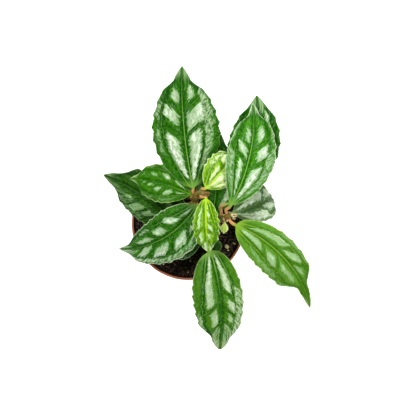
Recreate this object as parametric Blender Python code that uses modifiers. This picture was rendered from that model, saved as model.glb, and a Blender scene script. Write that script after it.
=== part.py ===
"""A young aluminum plant in a small round pot: a turned pot with drain holes, its soil,
three fleshy stems that stand in the soil, and leaves in pairs with quilted, toothed blades.

Every leaf is one loft: a round stalk that widens into a thin blade. The blade follows a midrib
that climbs, droops and sweeps by given angles, and its surface rises between the veins.
"""
import math
from typing import NamedTuple

import bmesh
import bpy
import numpy as np
from mathutils import Matrix, Vector

MM = 0.001

# The pot, in mm
POT_HEIGHT = 80.0
POT_RIM_RADIUS = 45.0
POT_FOOT_RADIUS = 31.0
POT_WALL = 1.5
POT_FLOOR = 2.0
RIM_BAND_HEIGHT = 10.0
RIM_BAND_STEP = 1.6
RIM_LIP = 1.8
RIM_ROUNDING = 0.5
LIP_HEIGHT = 3.0
FOOT_RING_WIDTH = 3.5
FOOT_RAISE = 1.4
FOOT_ROUNDING = 0.6
CENTRE_PAD_RADIUS = 7.0
DRAIN_HOLES = 8
DRAIN_HOLE_RADIUS = 2.6
DRAIN_HOLE_SIDES = 12
DRAIN_CIRCLE_RADIUS = 20.0
POT_SIDES = 56

# The pieces' colours, as linear red, green and blue
POT_COLOUR = (0.30, 0.09, 0.03)
SOIL_COLOUR = (0.018, 0.011, 0.008)
STEM_COLOUR = (0.35, 0.22, 0.09)
BUD_COLOUR = (0.40, 0.24, 0.12)
LEAF_COLOUR = (0.03, 0.16, 0.01)
YOUNG_LEAF_COLOUR = (0.22, 0.45, 0.02)

# The soil, in mm
SOIL_LEVEL = POT_HEIGHT - LIP_HEIGHT
SOIL_RELIEF = 1.5
SOIL_RINGS = 13
SOIL_SIDES = 44
SOIL_LEVEL_EDGE = 6.0

# Neighbours keep this gap, in mm. A stalk keeps a little more, because its stem is swollen there
GAP = 0.3
STALK_GAP = 0.4

# The leaves, in mm and degrees
BLADE_THICKNESS = 0.7
TIP_HALF_WIDTH = 0.45
NECK_LENGTH = 0.12
STALK_RADIUS = 1.15
STALK_THINNEST = 0.35
STALK_FULL_WIDTH = 40.0
STALK_REACH = 0.4
STALK_ROUND = 0.985
BLADE_START = 0.08
BLADE_COLUMNS = 8
STALK_ROWS = 3
MIDRIB_STEPS = 60
FOLD_RISE = 0.16
FOLD_FALL = 0.30
KEEL_DEPTH = 1.5
KEEL_WIDTH = 1.8
KEEL_TAPER = 0.75
SIDE_VEIN_START = 0.45
SIDE_VEIN_END = 0.74
QUILT_HEIGHT = 0.085
OUTER_QUILT = 0.6
CROSS_VEINS = 5.0
CROSS_VEIN_START = 0.07
CROSS_VEIN_SLANT = 0.18
CROSS_VEIN_DEPTH = 0.5
MARGIN_WAVES = 2.5
MARGIN_WAVE_HEIGHT = 0.05

# The buds at the stems' tips, in mm and degrees
BUD_CORE_RADIUS = 1.3
SCALE_LENGTH = 4.2
SCALE_RADIUS = 0.85
SCALE_TIP_RADIUS = 0.2
SCALE_SHIFT = 0.35
SCALE_LEAN = 16.0
SCALES = 4

# The stems, in mm
STEM_SIDES_RESOLUTION = 1
STEM_STEP = 3.0
STEM_HOLE_SIDES = 14
STEM_HOLE_RISE = 6.0
JOINT_SWELL = 0.35
JOINT_LENGTH = 3.0


class Stem(NamedTuple):
    """A stem as the points that its axis passes, its radius at the soil and at its tip, and the
    heights of its joints, where leaf stalks leave it and it is swollen."""
    name: str
    route: tuple
    foot_radius: float
    tip_radius: float
    joints: tuple


class Leaf(NamedTuple):
    """One leaf. Its stalk leaves the stem at the height stalk_z, and its blade starts at base.
    heading is the blade's compass direction halfway along, counted from +X, and turn is how far
    the midrib sweeps sideways. rise is the climb at the base, and droop is how far the midrib
    has bent down by the tip. widest is where the blade is widest, as a share of its length.
    fullness below 1 rounds the outline, and from neck on it narrows by pinch to the drawn-out
    tip. left and right scale the two halves, roll turns the blade about its midrib, late above 1
    holds the droop back for the tip, wave_start moves the margin's waves along, and tooth is the
    depth of the margin's teeth as a share of the half width. bow swings the stalk's end out to
    the left, in mm. young leaves are a paler green, and rows is how many steps the blade is made
    in."""
    name: str
    stem: str
    stalk_z: float
    base: tuple
    heading: float
    turn: float
    rise: float
    droop: float
    length: float
    width: float
    widest: float = 0.47
    fullness: float = 0.75
    pinch: float = 0.5
    neck: float = 0.78
    left: float = 1.0
    right: float = 1.0
    roll: float = 0.0
    late: float = 1.0
    wave_start: float = 0.0
    tooth: float = 0.022
    bow: float = 0.0
    young: bool = False
    rows: int = 20


STEMS = (
    Stem("left_stem",
         ((2.0, 4.0, 52.0), (2.6, 6.5, 82.0), (3.6, 12.0, 100.0), (5.2, 17.5, 114.0),
          (6.2, 20.8, 124.0), (9.6, 23.6, 129.5), (13.0, 22.8, 134.0)),
         2.5, 1.5, (96.0, 117.0, 125.0)),
    Stem("right_stem",
         ((20.0, -3.0, 52.0), (21.2, -1.0, 84.0), (23.0, 2.0, 100.0), (26.2, 4.6, 112.0),
          (29.4, 6.2, 123.5), (33.0, 6.4, 129.5)),
         2.3, 1.4, (94.0, 107.0, 124.0)),
    Stem("front_stem",
         ((12.0, -8.0, 52.0), (13.0, -9.4, 80.0), (14.6, -11.6, 92.0), (15.6, -13.6, 101.0)),
         2.1, 1.3, (81.0, 89.0, 98.0)),
)

LEAVES = (
    Leaf("leaf_top", "left_stem", 125.0, (4.6, 26.9, 128.0), 95.2, -13, 12, 30, 92, 49,
         widest=0.46, pinch=0.4, left=0.95, right=1.07),
    Leaf("leaf_left", "left_stem", 117.0, (2.9, 21.9, 120.0), 164.8, 24, 10, 34, 48.5, 28.5,
         widest=0.5, fullness=0.7, wave_start=0.3, rows=16),
    Leaf("leaf_far_left", "front_stem", 89.0, (-3.8, -4.1, 94.0), 145.8, 24, 14, 30, 76.2, 37,
         widest=0.42, pinch=0.35, neck=0.72, left=0.94, right=1.14, wave_start=0.6),
    Leaf("leaf_low_left", "left_stem", 115.0, (7.4, 14.4, 118.0), -152.4, -62, 0, 40, 79.5, 39,
         widest=0.38, right=0.92, wave_start=0.1),
    Leaf("leaf_centre", "left_stem", 131.0, (14.2, 18.7, 137.0), -87.1, 10, 12, 50, 40.9, 19.5,
         widest=0.5, fullness=0.5, pinch=0.3, tooth=0.06, young=True, rows=16),
    Leaf("leaf_back", "left_stem", 131.5, (14.1, 26.7, 136.0), 46.7, 0, 12, 24, 35.1, 26,
         widest=0.5, fullness=0.6, roll=14, tooth=0.05, young=True, rows=14),
    Leaf("leaf_right", "right_stem", 126.0, (32.2, 14.4, 138.0), 77.9, 34, 24, 46, 78.2, 35,
         widest=0.49, left=0.93, right=1.05, wave_start=0.5),
    Leaf("leaf_behind", "right_stem", 107.0, (31.3, 15.6, 118.0), 75.6, 40, 22, 36, 85.6, 38,
         widest=0.55, pinch=0.25, neck=0.82, bow=8, wave_start=0.2),
    Leaf("leaf_grey", "right_stem", 104.0, (34.6, 8.4, 106.5), 22.5, 14, 8, 112, 41.4, 28.5,
         widest=0.58, fullness=0.5, pinch=0.3, left=1.18, right=0.98, late=2.4, rows=16),
    Leaf("leaf_low_right", "right_stem", 123.0, (36.4, -0.5, 126.0), -49.1, -54, 6, 46, 96.2, 31,
         widest=0.4, fullness=0.64, neck=0.64, left=0.87, right=1.19, wave_start=0.8),
    Leaf("leaf_bottom", "front_stem", 98.0, (17.6, -20.6, 106.0), -85, -25, 12, 44, 81.3, 37.8,
         widest=0.45, fullness=0.5, pinch=0.35, neck=0.75, left=0.91, right=1.12),
    Leaf("leaf_under", "front_stem", 81.0, (10.0, -15.3, 86.0), -168.2, 0, 6, 20, 31.7, 20,
         widest=0.5, rows=12),
    Leaf("leaf_dark_low", "right_stem", 93.0, (19.6, 5.0, 96.5), 84.5, 0, 12, 28, 65.3, 34,
         widest=0.5, rows=16),
    Leaf("leaf_small", "front_stem", 91.0, (20.3, -11.9, 94.0), -74.1, 0, 5, 30, 11.7, 9,
         widest=0.5, rows=8),
    Leaf("leaf_tiny", "right_stem", 117.0, (28.2, 1.2, 121.0), -97, 0, 0, 30, 8.6, 6,
         widest=0.5, young=True, rows=8),
)


def ease(low, high, x):
    """0 below low, 1 above high, and a smooth step between."""
    share = np.clip((x - low) / (high - low), 0, 1)
    return share * share * (3 - 2 * share)


def clear_scene():
    for obj in list(bpy.data.objects):
        bpy.data.objects.remove(obj, do_unlink=True)


def new_collection(name, parent=None):
    collection = bpy.data.collections.new(name)
    (parent or bpy.context.scene.collection).children.link(collection)
    return collection


def material(name, colour, roughness):
    """A Principled material of one colour, given as linear red, green and blue."""
    made = bpy.data.materials.new(name)
    made.use_nodes = True
    shader = made.node_tree.nodes["Principled BSDF"]
    shader.inputs["Base Color"].default_value = (*colour, 1)
    shader.inputs["Roughness"].default_value = roughness
    shader.inputs["Metallic"].default_value = 0
    return made


def add_object(name, data, collection, finish):
    obj = bpy.data.objects.new(name, data)
    collection.objects.link(obj)
    obj.data.materials.append(finish)
    return obj


def mesh_object(name, bm, collection, finish, sharp_angle=40):
    """The bmesh as an object with smooth shading that stays crisp past sharp_angle degrees."""
    bmesh.ops.recalc_face_normals(bm, faces=bm.faces)
    mesh = bpy.data.meshes.new(name)
    bm.to_mesh(mesh)
    bm.free()
    mesh.shade_smooth()
    mesh.set_sharp_from_angle(angle=math.radians(sharp_angle))
    return add_object(name, mesh, collection, finish)


def as_mesh(obj, collection):
    """The object with its modifiers or its bevel made into a plain mesh of the same name."""
    bpy.context.view_layer.update()
    graph = bpy.context.evaluated_depsgraph_get()
    mesh = bpy.data.meshes.new_from_object(obj.evaluated_get(graph))
    bm = bmesh.new()
    bm.from_mesh(mesh)
    bmesh.ops.remove_doubles(bm, verts=bm.verts, dist=1e-6)
    bm.to_mesh(mesh)
    bm.free()
    name = obj.name
    place = obj.matrix_world.copy()
    bpy.data.objects.remove(obj, do_unlink=True)
    made = bpy.data.objects.new(name, mesh)
    made.matrix_world = place
    collection.objects.link(made)
    return made


def turned(name, profile, sides, collection, finish):
    """A profile of (radius, height) points in mm, turned about Z."""
    mesh = bpy.data.meshes.new(name)
    points = [(radius * MM, 0, height * MM) for radius, height in profile]
    edges = [(i, i + 1) for i in range(len(points) - 1)]
    mesh.from_pydata(points, edges, [])
    obj = add_object(name, mesh, collection, finish)
    screw = obj.modifiers.new("Turn", "SCREW")
    screw.steps = sides
    screw.render_steps = sides
    screw.use_merge_vertices = True
    screw.merge_threshold = 1e-5
    screw.use_smooth_shade = True
    return obj


def cutter(name, radius, start, end, sides, collection):
    """A cylinder from start to end that cuts a hole, in mm."""
    axis = Vector(end) - Vector(start)
    turn = axis.to_track_quat("Z", "Y").to_matrix().to_4x4()
    middle = Matrix.Translation((Vector(start) + Vector(end)) / 2 * MM)
    bm = bmesh.new()
    bmesh.ops.create_cone(bm, cap_ends=True, segments=sides, radius1=radius * MM,
                          radius2=radius * MM, depth=axis.length * MM, matrix=middle @ turn)
    mesh = bpy.data.meshes.new(name)
    bm.to_mesh(mesh)
    bm.free()
    obj = bpy.data.objects.new(name, mesh)
    obj.hide_render = True
    obj.display_type = "WIRE"
    collection.objects.link(obj)


def cut(obj, cutters):
    """Takes every object of the collection out of obj."""
    boolean = obj.modifiers.new("Holes", "BOOLEAN")
    boolean.operation = "DIFFERENCE"
    boolean.operand_type = "COLLECTION"
    boolean.collection = cutters
    boolean.solver = "EXACT"


def pot_outer_radius(z):
    """The radius of the tapered wall's outside at height z."""
    top = POT_RIM_RADIUS - RIM_BAND_STEP
    return POT_FOOT_RADIUS + (top - POT_FOOT_RADIUS) * z / POT_HEIGHT


def pot_profile():
    """The pot's section: floor, inside, lip, rim band, outside, foot ring and centre pad."""
    inside_top = POT_RIM_RADIUS - RIM_LIP
    floor = FOOT_RAISE + POT_FLOOR
    band_low = POT_HEIGHT - RIM_BAND_HEIGHT
    wall_at_band = pot_outer_radius(band_low)
    foot_inner = POT_FOOT_RADIUS - FOOT_RING_WIDTH
    return [
        (0, floor),
        (pot_outer_radius(floor) - POT_WALL, floor),
        (wall_at_band - POT_WALL, band_low),
        (inside_top - RIM_ROUNDING, POT_HEIGHT - LIP_HEIGHT),
        (inside_top, POT_HEIGHT - RIM_ROUNDING),
        (inside_top + RIM_ROUNDING, POT_HEIGHT),
        (POT_RIM_RADIUS - RIM_ROUNDING, POT_HEIGHT),
        (POT_RIM_RADIUS, POT_HEIGHT - RIM_ROUNDING),
        (POT_RIM_RADIUS - RIM_ROUNDING, band_low + RIM_ROUNDING),
        (POT_RIM_RADIUS - 2 * RIM_ROUNDING, band_low),
        (wall_at_band, band_low - RIM_ROUNDING),
        (POT_FOOT_RADIUS + FOOT_ROUNDING / 2, FOOT_ROUNDING),
        (POT_FOOT_RADIUS - FOOT_ROUNDING, 0),
        (foot_inner, 0),
        (foot_inner - FOOT_ROUNDING, FOOT_RAISE),
        (CENTRE_PAD_RADIUS + FOOT_ROUNDING, FOOT_RAISE),
        (CENTRE_PAD_RADIUS, 0),
        (0, 0),
    ]


def make_pot(collection, cutters):
    drain = new_collection("Drain holes", cutters)
    for k in range(DRAIN_HOLES):
        angle = 2 * math.pi * (k + 0.5) / DRAIN_HOLES
        x = DRAIN_CIRCLE_RADIUS * math.cos(angle)
        y = DRAIN_CIRCLE_RADIUS * math.sin(angle)
        cutter(f"drain_cutter_{k}", DRAIN_HOLE_RADIUS, (x, y, -POT_FLOOR), (x, y, 4 * POT_FLOOR),
               DRAIN_HOLE_SIDES, drain)
    pot = turned("pot", pot_profile(), POT_SIDES, collection,
                 material("Terracotta plastic", POT_COLOUR, 0.45))
    cut(pot, drain)


def soil_edge():
    """The soil's radius at its level, which is where the pot's lip starts."""
    return POT_RIM_RADIUS - RIM_LIP - RIM_ROUNDING - GAP


def soil_profile():
    """The soil's section: its top in even rings, and then down the pot's inside to the floor."""
    edge = soil_edge()
    low = FOOT_RAISE + POT_FLOOR + GAP
    top = [(edge * k / SOIL_RINGS, SOIL_LEVEL) for k in range(SOIL_RINGS + 1)]
    band_low = POT_HEIGHT - RIM_BAND_HEIGHT
    return top + [
        (pot_outer_radius(band_low) - POT_WALL - GAP, band_low),
        (pot_outer_radius(low) - POT_WALL - GAP, low),
        (0, low),
    ]


def soil_height(x, y):
    """How far the soil stands above its level at x, y, all in mm: lumps of two sizes as products
    of crossed waves, dying away at the wall."""
    lumps = math.sin(0.31 * x + 1.1) * math.cos(0.27 * y - 0.4)
    crumbs = math.sin(0.93 * x + 0.61 * y) * math.sin(0.83 * y - 0.57 * x + 2.0)
    fade = 1 - ease(soil_edge() - SOIL_LEVEL_EDGE, soil_edge(), math.hypot(x, y))
    return SOIL_RELIEF * (0.6 * lumps + 0.5 * crumbs) * float(fade)


def make_soil(collection, cutters):
    finish = material("Potting soil", SOIL_COLOUR, 0.95)
    soil = as_mesh(turned("soil", soil_profile(), SOIL_SIDES, collection, finish), collection)
    for vertex in soil.data.vertices:
        if vertex.co.z > (SOIL_LEVEL - GAP) * MM:
            vertex.co.z += soil_height(vertex.co.x / MM, vertex.co.y / MM) * MM
    soil.data.shade_smooth()
    soil.data.set_sharp_from_angle(angle=math.radians(50))
    holes = new_collection("Stem holes", cutters)
    for stem in STEMS:
        stem_hole(stem, holes)
    cut(soil, holes)


def stem_hole(stem, collection):
    """A cutter round the stem's buried part, a gap wider and longer, that comes out on top."""
    axis, _ = stem_points(stem)
    foot = Vector(axis[0])
    top = Vector(axis_at(axis, SOIL_LEVEL + STEM_HOLE_RISE))
    below = (top - foot).normalized() * GAP
    cutter(stem.name + "_hole", stem.foot_radius + STALK_GAP, foot - below, top,
           STEM_HOLE_SIDES, collection)


def smooth_route(points, step):
    """Points about step apart on a smooth curve through the given ones (Catmull-Rom)."""
    known = np.array(points, float)
    ends = np.vstack([2 * known[0] - known[1], known, 2 * known[-1] - known[-2]])
    route = []
    for a, b, c, d in zip(ends, ends[1:], ends[2:], ends[3:]):
        pieces = max(1, round(float(np.linalg.norm(c - b)) / step))
        for u in np.arange(pieces) / pieces:
            route.append(0.5 * (2 * b + (c - a) * u + (2 * a - 5 * b + 4 * c - d) * u**2
                                + (3 * b - a - 3 * c + d) * u**3))
    route.append(known[-1])
    return np.array(route)


def stem_points(stem):
    """The stem's axis points and the radius at each: tapering, and swollen at the joints."""
    axis = smooth_route(stem.route, STEM_STEP)
    z = axis[:, 2]
    share = (z - z[0]) / (z[-1] - z[0])
    radius = stem.foot_radius + (stem.tip_radius - stem.foot_radius) * share
    for joint in stem.joints:
        radius = radius * (1 + JOINT_SWELL * np.exp(-((z - joint) / JOINT_LENGTH) ** 2))
    return axis, radius


def axis_at(axis, z):
    """The point of the axis at height z."""
    return np.array([np.interp(z, axis[:, 2], axis[:, i]) for i in range(3)])


def make_stem(stem, collection, finish):
    axis, radius = stem_points(stem)
    curve = bpy.data.curves.new(stem.name, "CURVE")
    curve.dimensions = "3D"
    curve.bevel_depth = MM
    curve.bevel_resolution = STEM_SIDES_RESOLUTION
    curve.use_fill_caps = True
    spline = curve.splines.new("POLY")
    spline.points.add(len(axis) - 1)
    for point, place, size in zip(spline.points, axis, radius):
        point.co = (*(place * MM), 1)
        point.radius = size
    add_object(stem.name, curve, collection, finish)


def half_width(leaf, s):
    """The outline: a sine arch moved so that it peaks at widest, narrowed past the neck."""
    skew = math.log(0.5) / math.log(leaf.widest)
    arch = np.sin(np.pi * np.clip(s, 0, 1) ** skew) ** leaf.fullness
    narrowing = 1 - leaf.pinch * ease(leaf.neck, leaf.neck + NECK_LENGTH, s)
    return leaf.width / 2 * arch * narrowing


def teeth(leaf, s):
    """Shallow forward teeth along the upper part of the margin, one for each two rows."""
    tooth = (s * leaf.rows / 2) % 1.0
    return 1 + leaf.tooth * (1 - 2 * np.abs(2 * tooth - 1)) * ease(0.15, 0.4, s)


def midrib(leaf):
    """Stations along the blade, with the midrib's points and directions there. The direction
    climbs by rise, bends down by droop and sweeps by turn, and the points add its steps up."""
    s = np.linspace(0, 1, MIDRIB_STEPS + 1)
    directions = heading_at(leaf, s)
    steps = heading_at(leaf, (s[1:] + s[:-1]) / 2) * leaf.length / MIDRIB_STEPS
    points = np.vstack([np.zeros(3), np.cumsum(steps, axis=0)]) + np.array(leaf.base)
    return s, points, directions


def heading_at(leaf, s):
    """The midrib's direction at each share s of the blade's length."""
    climb = np.radians(leaf.rise - leaf.droop * s**leaf.late)
    compass = np.radians(leaf.heading + leaf.turn * (s - 0.5))
    return np.stack([np.cos(climb) * np.cos(compass), np.cos(climb) * np.sin(compass),
                     np.sin(climb)], axis=-1)


def stalk_curve(leaf, u):
    """Points and directions at each share u of the stalk: a cubic from the stem's side, where it
    leaves outwards, to the blade's base, where it runs into the midrib."""
    stem = next(stem for stem in STEMS if stem.name == leaf.stem)
    axis, radius = stem_points(stem)
    root = axis_at(axis, leaf.stalk_z)
    stem_radius = float(np.interp(leaf.stalk_z, axis[:, 2], radius))
    upwards = axis_at(axis, leaf.stalk_z + 1) - axis_at(axis, leaf.stalk_z - 1)
    upwards /= np.linalg.norm(upwards)
    base = np.array(leaf.base)
    outwards = base - root
    outwards -= upwards * outwards.dot(upwards)
    outwards /= np.linalg.norm(outwards)
    start = root + outwards * (stem_radius + STALK_GAP)
    reach = STALK_REACH * np.linalg.norm(base - start)
    swing = np.cross(upwards, outwards) * leaf.bow
    first = start + outwards * reach
    last = base - heading_at(leaf, np.zeros(1))[0] * reach + swing
    u = u[..., None]
    points = ((1 - u) ** 3 * start + 3 * u * (1 - u) ** 2 * first
              + 3 * u**2 * (1 - u) * last + u**3 * base)
    directions = ((1 - u) ** 2 * (first - start) + 2 * u * (1 - u) * (last - first)
                  + u**2 * (base - last))
    return points, directions / np.linalg.norm(directions, axis=-1, keepdims=True)


def spine(leaf, along):
    """The centre line's points and directions, for along from -1 at the stem to 0 at the blade's
    base to 1 at the tip."""
    stations, points, directions = midrib(leaf)
    s = np.clip(along, 0, 1)
    blade_points = np.stack([np.interp(s, stations, points[:, i]) for i in range(3)], -1)
    blade_directions = np.stack([np.interp(s, stations, directions[:, i]) for i in range(3)], -1)
    stalk_points, stalk_directions = stalk_curve(leaf, np.clip(along + 1, 0, 1))
    on_stalk = (along < 0)[..., None]
    direction = np.where(on_stalk, stalk_directions, blade_directions)
    direction /= np.linalg.norm(direction, axis=-1, keepdims=True)
    return np.where(on_stalk, stalk_points, blade_points), direction


def side_vein(s):
    """Where the two side veins run, as a share of the half width: wider apart up the blade."""
    return SIDE_VEIN_START + (SIDE_VEIN_END - SIDE_VEIN_START) * ease(0, 0.7, s)


def share_across(column, s):
    """The share of the half width at a mesh column from -1 to 1. The halfway columns follow the
    side veins."""
    vein = side_vein(s)
    steps = 2 * np.abs(column)
    inner = vein * steps
    outer = vein + (1 - vein) * (steps - 1)
    return np.sign(column) * np.where(steps < 1, inner, outer)


def quilting(s, t):
    """How far the blade stands above its mean surface, as a share of its half width: sunk at the
    midrib, at the two side veins and at the cross veins, and raised like a quilt between."""
    across = np.abs(t)
    vein = side_vein(s)
    inner = np.sin(np.pi * np.clip(across / vein, 0, 1))
    outer = np.sin(np.pi * np.clip((across - vein) / (1 - vein), 0, 1))
    cushion = np.where(across < vein, inner, OUTER_QUILT * outer)
    phase = CROSS_VEINS * (s - CROSS_VEIN_SLANT * across - CROSS_VEIN_START)
    cross = CROSS_VEIN_DEPTH * np.cos(2 * np.pi * phase) * ease(0.3, 0.5, s)
    return QUILT_HEIGHT * cushion * (1 + cross) * ease(0, 0.15, s)


def margin_wave(leaf, s, t):
    """Slow waves that grow towards the margin, half a wave apart on the two sides, as a share of
    the half width."""
    side = np.where(t > 0, 0.5, 0.0)
    wave = np.sin(2 * np.pi * (MARGIN_WAVES * s + leaf.wave_start + side))
    return MARGIN_WAVE_HEIGHT * wave * t * t * ease(0.1, 0.4, s)


def leaf_section(leaf, along, t):
    """For each point: its offset across, and the heights of the upper and lower faces there, in
    mm. The stalk is round, and the blade is a thin quilted sheet with a keel under its midrib."""
    s = np.clip(along, 0, 1)
    on_blade = ease(0, BLADE_START, along)
    mean_half = half_width(leaf, s)
    stalk = STALK_RADIUS * min(1, STALK_THINNEST + leaf.width / STALK_FULL_WIDTH)
    narrowest = stalk + (TIP_HALF_WIDTH - stalk) * ease(0.05, 1, s)
    side = np.where(t > 0, leaf.right, leaf.left)
    across = t * np.maximum(side * mean_half * teeth(leaf, s), narrowest)
    fold = FOLD_RISE * np.abs(t) - FOLD_FALL * t * t
    sheet = mean_half * (fold + quilting(s, t) + margin_wave(leaf, s, t))
    ridge = np.clip(1 - np.abs(across) / (KEEL_WIDTH * stalk), 0, 1)
    keel = KEEL_DEPTH * stalk * (1 - KEEL_TAPER * s) * ridge
    round_half = stalk * np.sqrt(np.clip(1 - (STALK_ROUND * t) ** 2, 0, 1))
    upper = (1 - on_blade) * round_half + on_blade * (sheet + BLADE_THICKNESS / 2)
    lower = -(1 - on_blade) * round_half + on_blade * (sheet - BLADE_THICKNESS / 2 - keel)
    return across, upper, lower


def leaf_point(leaf, along, t, is_lower):
    """Points of the leaf in mm, on its upper or its lower face."""
    centre, direction = spine(leaf, along)
    sideways = np.cross(direction, np.array([0, 0, 1.0]))
    sideways /= np.linalg.norm(sideways, axis=-1, keepdims=True)
    up = np.cross(sideways, direction)
    tilt = math.radians(leaf.roll)
    side = sideways * math.cos(tilt) - up * math.sin(tilt)
    normal = up * math.cos(tilt) + sideways * math.sin(tilt)
    across, upper, lower = leaf_section(leaf, along, t)
    height = np.where(is_lower, lower, upper)
    return centre + side * across[..., None] + normal * height[..., None]


def make_leaf(leaf, collection, finish):
    """A grid along and across the leaf, split into triangles and then extruded to a second face,
    so that both faces are split alike. Each vertex then goes to its place by the formulas."""
    rows = STALK_ROWS + leaf.rows
    bm = bmesh.new()
    bmesh.ops.create_grid(bm, x_segments=rows, y_segments=BLADE_COLUMNS, size=1)
    bmesh.ops.triangulate(bm, faces=bm.faces, quad_method="FIXED")
    extruded = bmesh.ops.extrude_face_region(bm, geom=bm.faces[:])
    lower = {item for item in extruded["geom"] if isinstance(item, bmesh.types.BMVert)}
    vertices = list(bm.verts)
    row = np.array([(vertex.co.x + 1) / 2 * rows for vertex in vertices])
    column = np.array([vertex.co.y for vertex in vertices])
    is_lower = np.array([vertex in lower for vertex in vertices])
    along = np.where(row < STALK_ROWS, row / STALK_ROWS - 1, (row - STALK_ROWS) / leaf.rows)
    across = share_across(column, np.clip(along, 0, 1))
    for vertex, place in zip(vertices, leaf_point(leaf, along, across, is_lower)):
        vertex.co = Vector(place) * MM
    bmesh.ops.triangulate(bm, faces=bm.faces)
    mesh_object(leaf.name, bm, collection, finish, 60)


def make_leaves(collection):
    old = material("Leaf green", LEAF_COLOUR, 0.3)
    young = material("Young leaf green", YOUNG_LEAF_COLOUR, 0.35)
    for leaf in LEAVES:
        make_leaf(leaf, collection, young if leaf.young else old)


def bud_core(stem):
    """The core's place in metres: just past the stem's tip, turned along the stem."""
    axis, _ = stem_points(stem)
    upwards = Vector(axis[-1] - axis[-2]).normalized()
    middle = Vector(axis[-1]) + upwards * (GAP + BUD_CORE_RADIUS)
    return Matrix.Translation(middle * MM) @ upwards.to_track_quat("Z", "Y").to_matrix().to_4x4()


def make_bud(stem, collection, finish):
    """A round core just past the stem's tip, with pointed scales that lean out of it."""
    place = bud_core(stem)
    bm = bmesh.new()
    bmesh.ops.create_uvsphere(bm, u_segments=8, v_segments=6, radius=BUD_CORE_RADIUS * MM,
                              matrix=place)
    bud = mesh_object(stem.name.replace("stem", "bud"), bm, collection, finish)
    scales = new_collection(bud.name + " scales")
    rise = Matrix.Translation((0, 0, SCALE_LENGTH / 2 * MM))
    lean = Matrix.Rotation(math.radians(SCALE_LEAN), 4, "Y")
    for k in range(SCALES):
        spin = Matrix.Rotation(2 * math.pi * (k + 0.5) / SCALES, 4, "Z")
        shift = Matrix.Translation((SCALE_SHIFT * MM, 0, 0))
        bm = bmesh.new()
        bmesh.ops.create_cone(bm, cap_ends=True, segments=6, radius1=SCALE_RADIUS * MM,
                              radius2=SCALE_TIP_RADIUS * MM, depth=SCALE_LENGTH * MM,
                              matrix=place @ spin @ shift @ lean @ rise)
        mesh_object(f"{bud.name}_scale_{k}", bm, scales, finish)
    join(bud, scales)


def join(obj, pieces):
    """Unites obj with the collection's objects, and removes them."""
    boolean = obj.modifiers.new("Join", "BOOLEAN")
    boolean.operation = "UNION"
    boolean.operand_type = "COLLECTION"
    boolean.collection = pieces
    boolean.solver = "EXACT"
    bpy.context.view_layer.update()
    graph = bpy.context.evaluated_depsgraph_get()
    joined = bpy.data.meshes.new_from_object(obj.evaluated_get(graph))
    obj.modifiers.clear()
    obj.data = joined
    for piece in list(pieces.objects):
        bpy.data.objects.remove(piece, do_unlink=True)
    bpy.data.collections.remove(pieces)


def main():
    clear_scene()
    parts = new_collection("Potted aluminum plant")
    cutters = new_collection("Cutters")
    cutters.hide_render = True
    make_pot(parts, cutters)
    make_soil(parts, cutters)
    bark = material("Stem", STEM_COLOUR, 0.5)
    papery = material("Bud scales", BUD_COLOUR, 0.7)
    for stem in STEMS:
        make_stem(stem, parts, bark)
        make_bud(stem, parts, papery)
    make_leaves(parts)


main()
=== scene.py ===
"""The looks of a young aluminum plant in a small round pot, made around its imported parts.

The file is laid out as an add-on and run as a script. Each operator makes one kind of piece from
numpy surfaces and gives it a node material. Sizes are in millimetres until a mesh is made.
"""
import math
from typing import NamedTuple

import bpy
import numpy as np
from bpy.props import FloatProperty, FloatVectorProperty, IntProperty, PointerProperty
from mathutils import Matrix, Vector


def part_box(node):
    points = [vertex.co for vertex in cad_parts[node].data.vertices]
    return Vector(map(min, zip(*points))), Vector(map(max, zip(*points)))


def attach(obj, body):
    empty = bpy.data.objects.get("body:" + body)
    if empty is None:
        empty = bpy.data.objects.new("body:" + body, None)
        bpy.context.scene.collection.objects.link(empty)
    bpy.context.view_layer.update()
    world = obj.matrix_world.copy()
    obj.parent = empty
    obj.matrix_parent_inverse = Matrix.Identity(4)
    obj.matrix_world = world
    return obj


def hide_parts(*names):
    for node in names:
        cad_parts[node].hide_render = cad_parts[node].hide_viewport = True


bl_info = {
    "name": "Potted aluminum plant",
    "version": (1, 0, 0),
    "blender": (4, 5, 0),
    "location": "3D view > Sidebar > Plant",
    "description": "Makes the fine leaves, stems, soil and pot of a potted aluminum plant",
    "category": "Object",
}

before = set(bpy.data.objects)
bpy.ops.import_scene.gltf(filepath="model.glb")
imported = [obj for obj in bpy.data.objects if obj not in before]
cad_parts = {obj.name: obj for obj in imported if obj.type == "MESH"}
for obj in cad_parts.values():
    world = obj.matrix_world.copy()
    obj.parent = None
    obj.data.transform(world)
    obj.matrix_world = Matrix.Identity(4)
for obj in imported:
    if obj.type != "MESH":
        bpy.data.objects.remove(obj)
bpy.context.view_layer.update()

MM = 0.001
CM_PER_MM = 0.1
WHITE = (1, 1, 1, 1)
BODY = "root"

# The pot and the soil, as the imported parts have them, in mm
POT_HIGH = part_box("pot")[1] / MM
POT_HEIGHT = POT_HIGH.z
POT_RIM_RADIUS = POT_HIGH.x
POT_FOOT_RADIUS = 31.0
POT_WALL = 1.5
POT_FLOOR = 2.0
RIM_BAND_HEIGHT = 10.0
RIM_BAND_STEP = 1.6
RIM_LIP = 1.8
RIM_ROUNDING = 0.5
LIP_HEIGHT = 3.0
FOOT_RING_WIDTH = 3.5
FOOT_RAISE = 1.4
FOOT_ROUNDING = 0.6
CENTRE_PAD_RADIUS = 7.0
DRAIN_HOLES = 8
DRAIN_HOLE_RADIUS = 2.6
DRAIN_CIRCLE_RADIUS = 20.0
SOIL_LEVEL = POT_HEIGHT - LIP_HEIGHT
SOIL_RELIEF = 1.5
SOIL_LEVEL_EDGE = 6.0
GAP = 0.3

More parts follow.
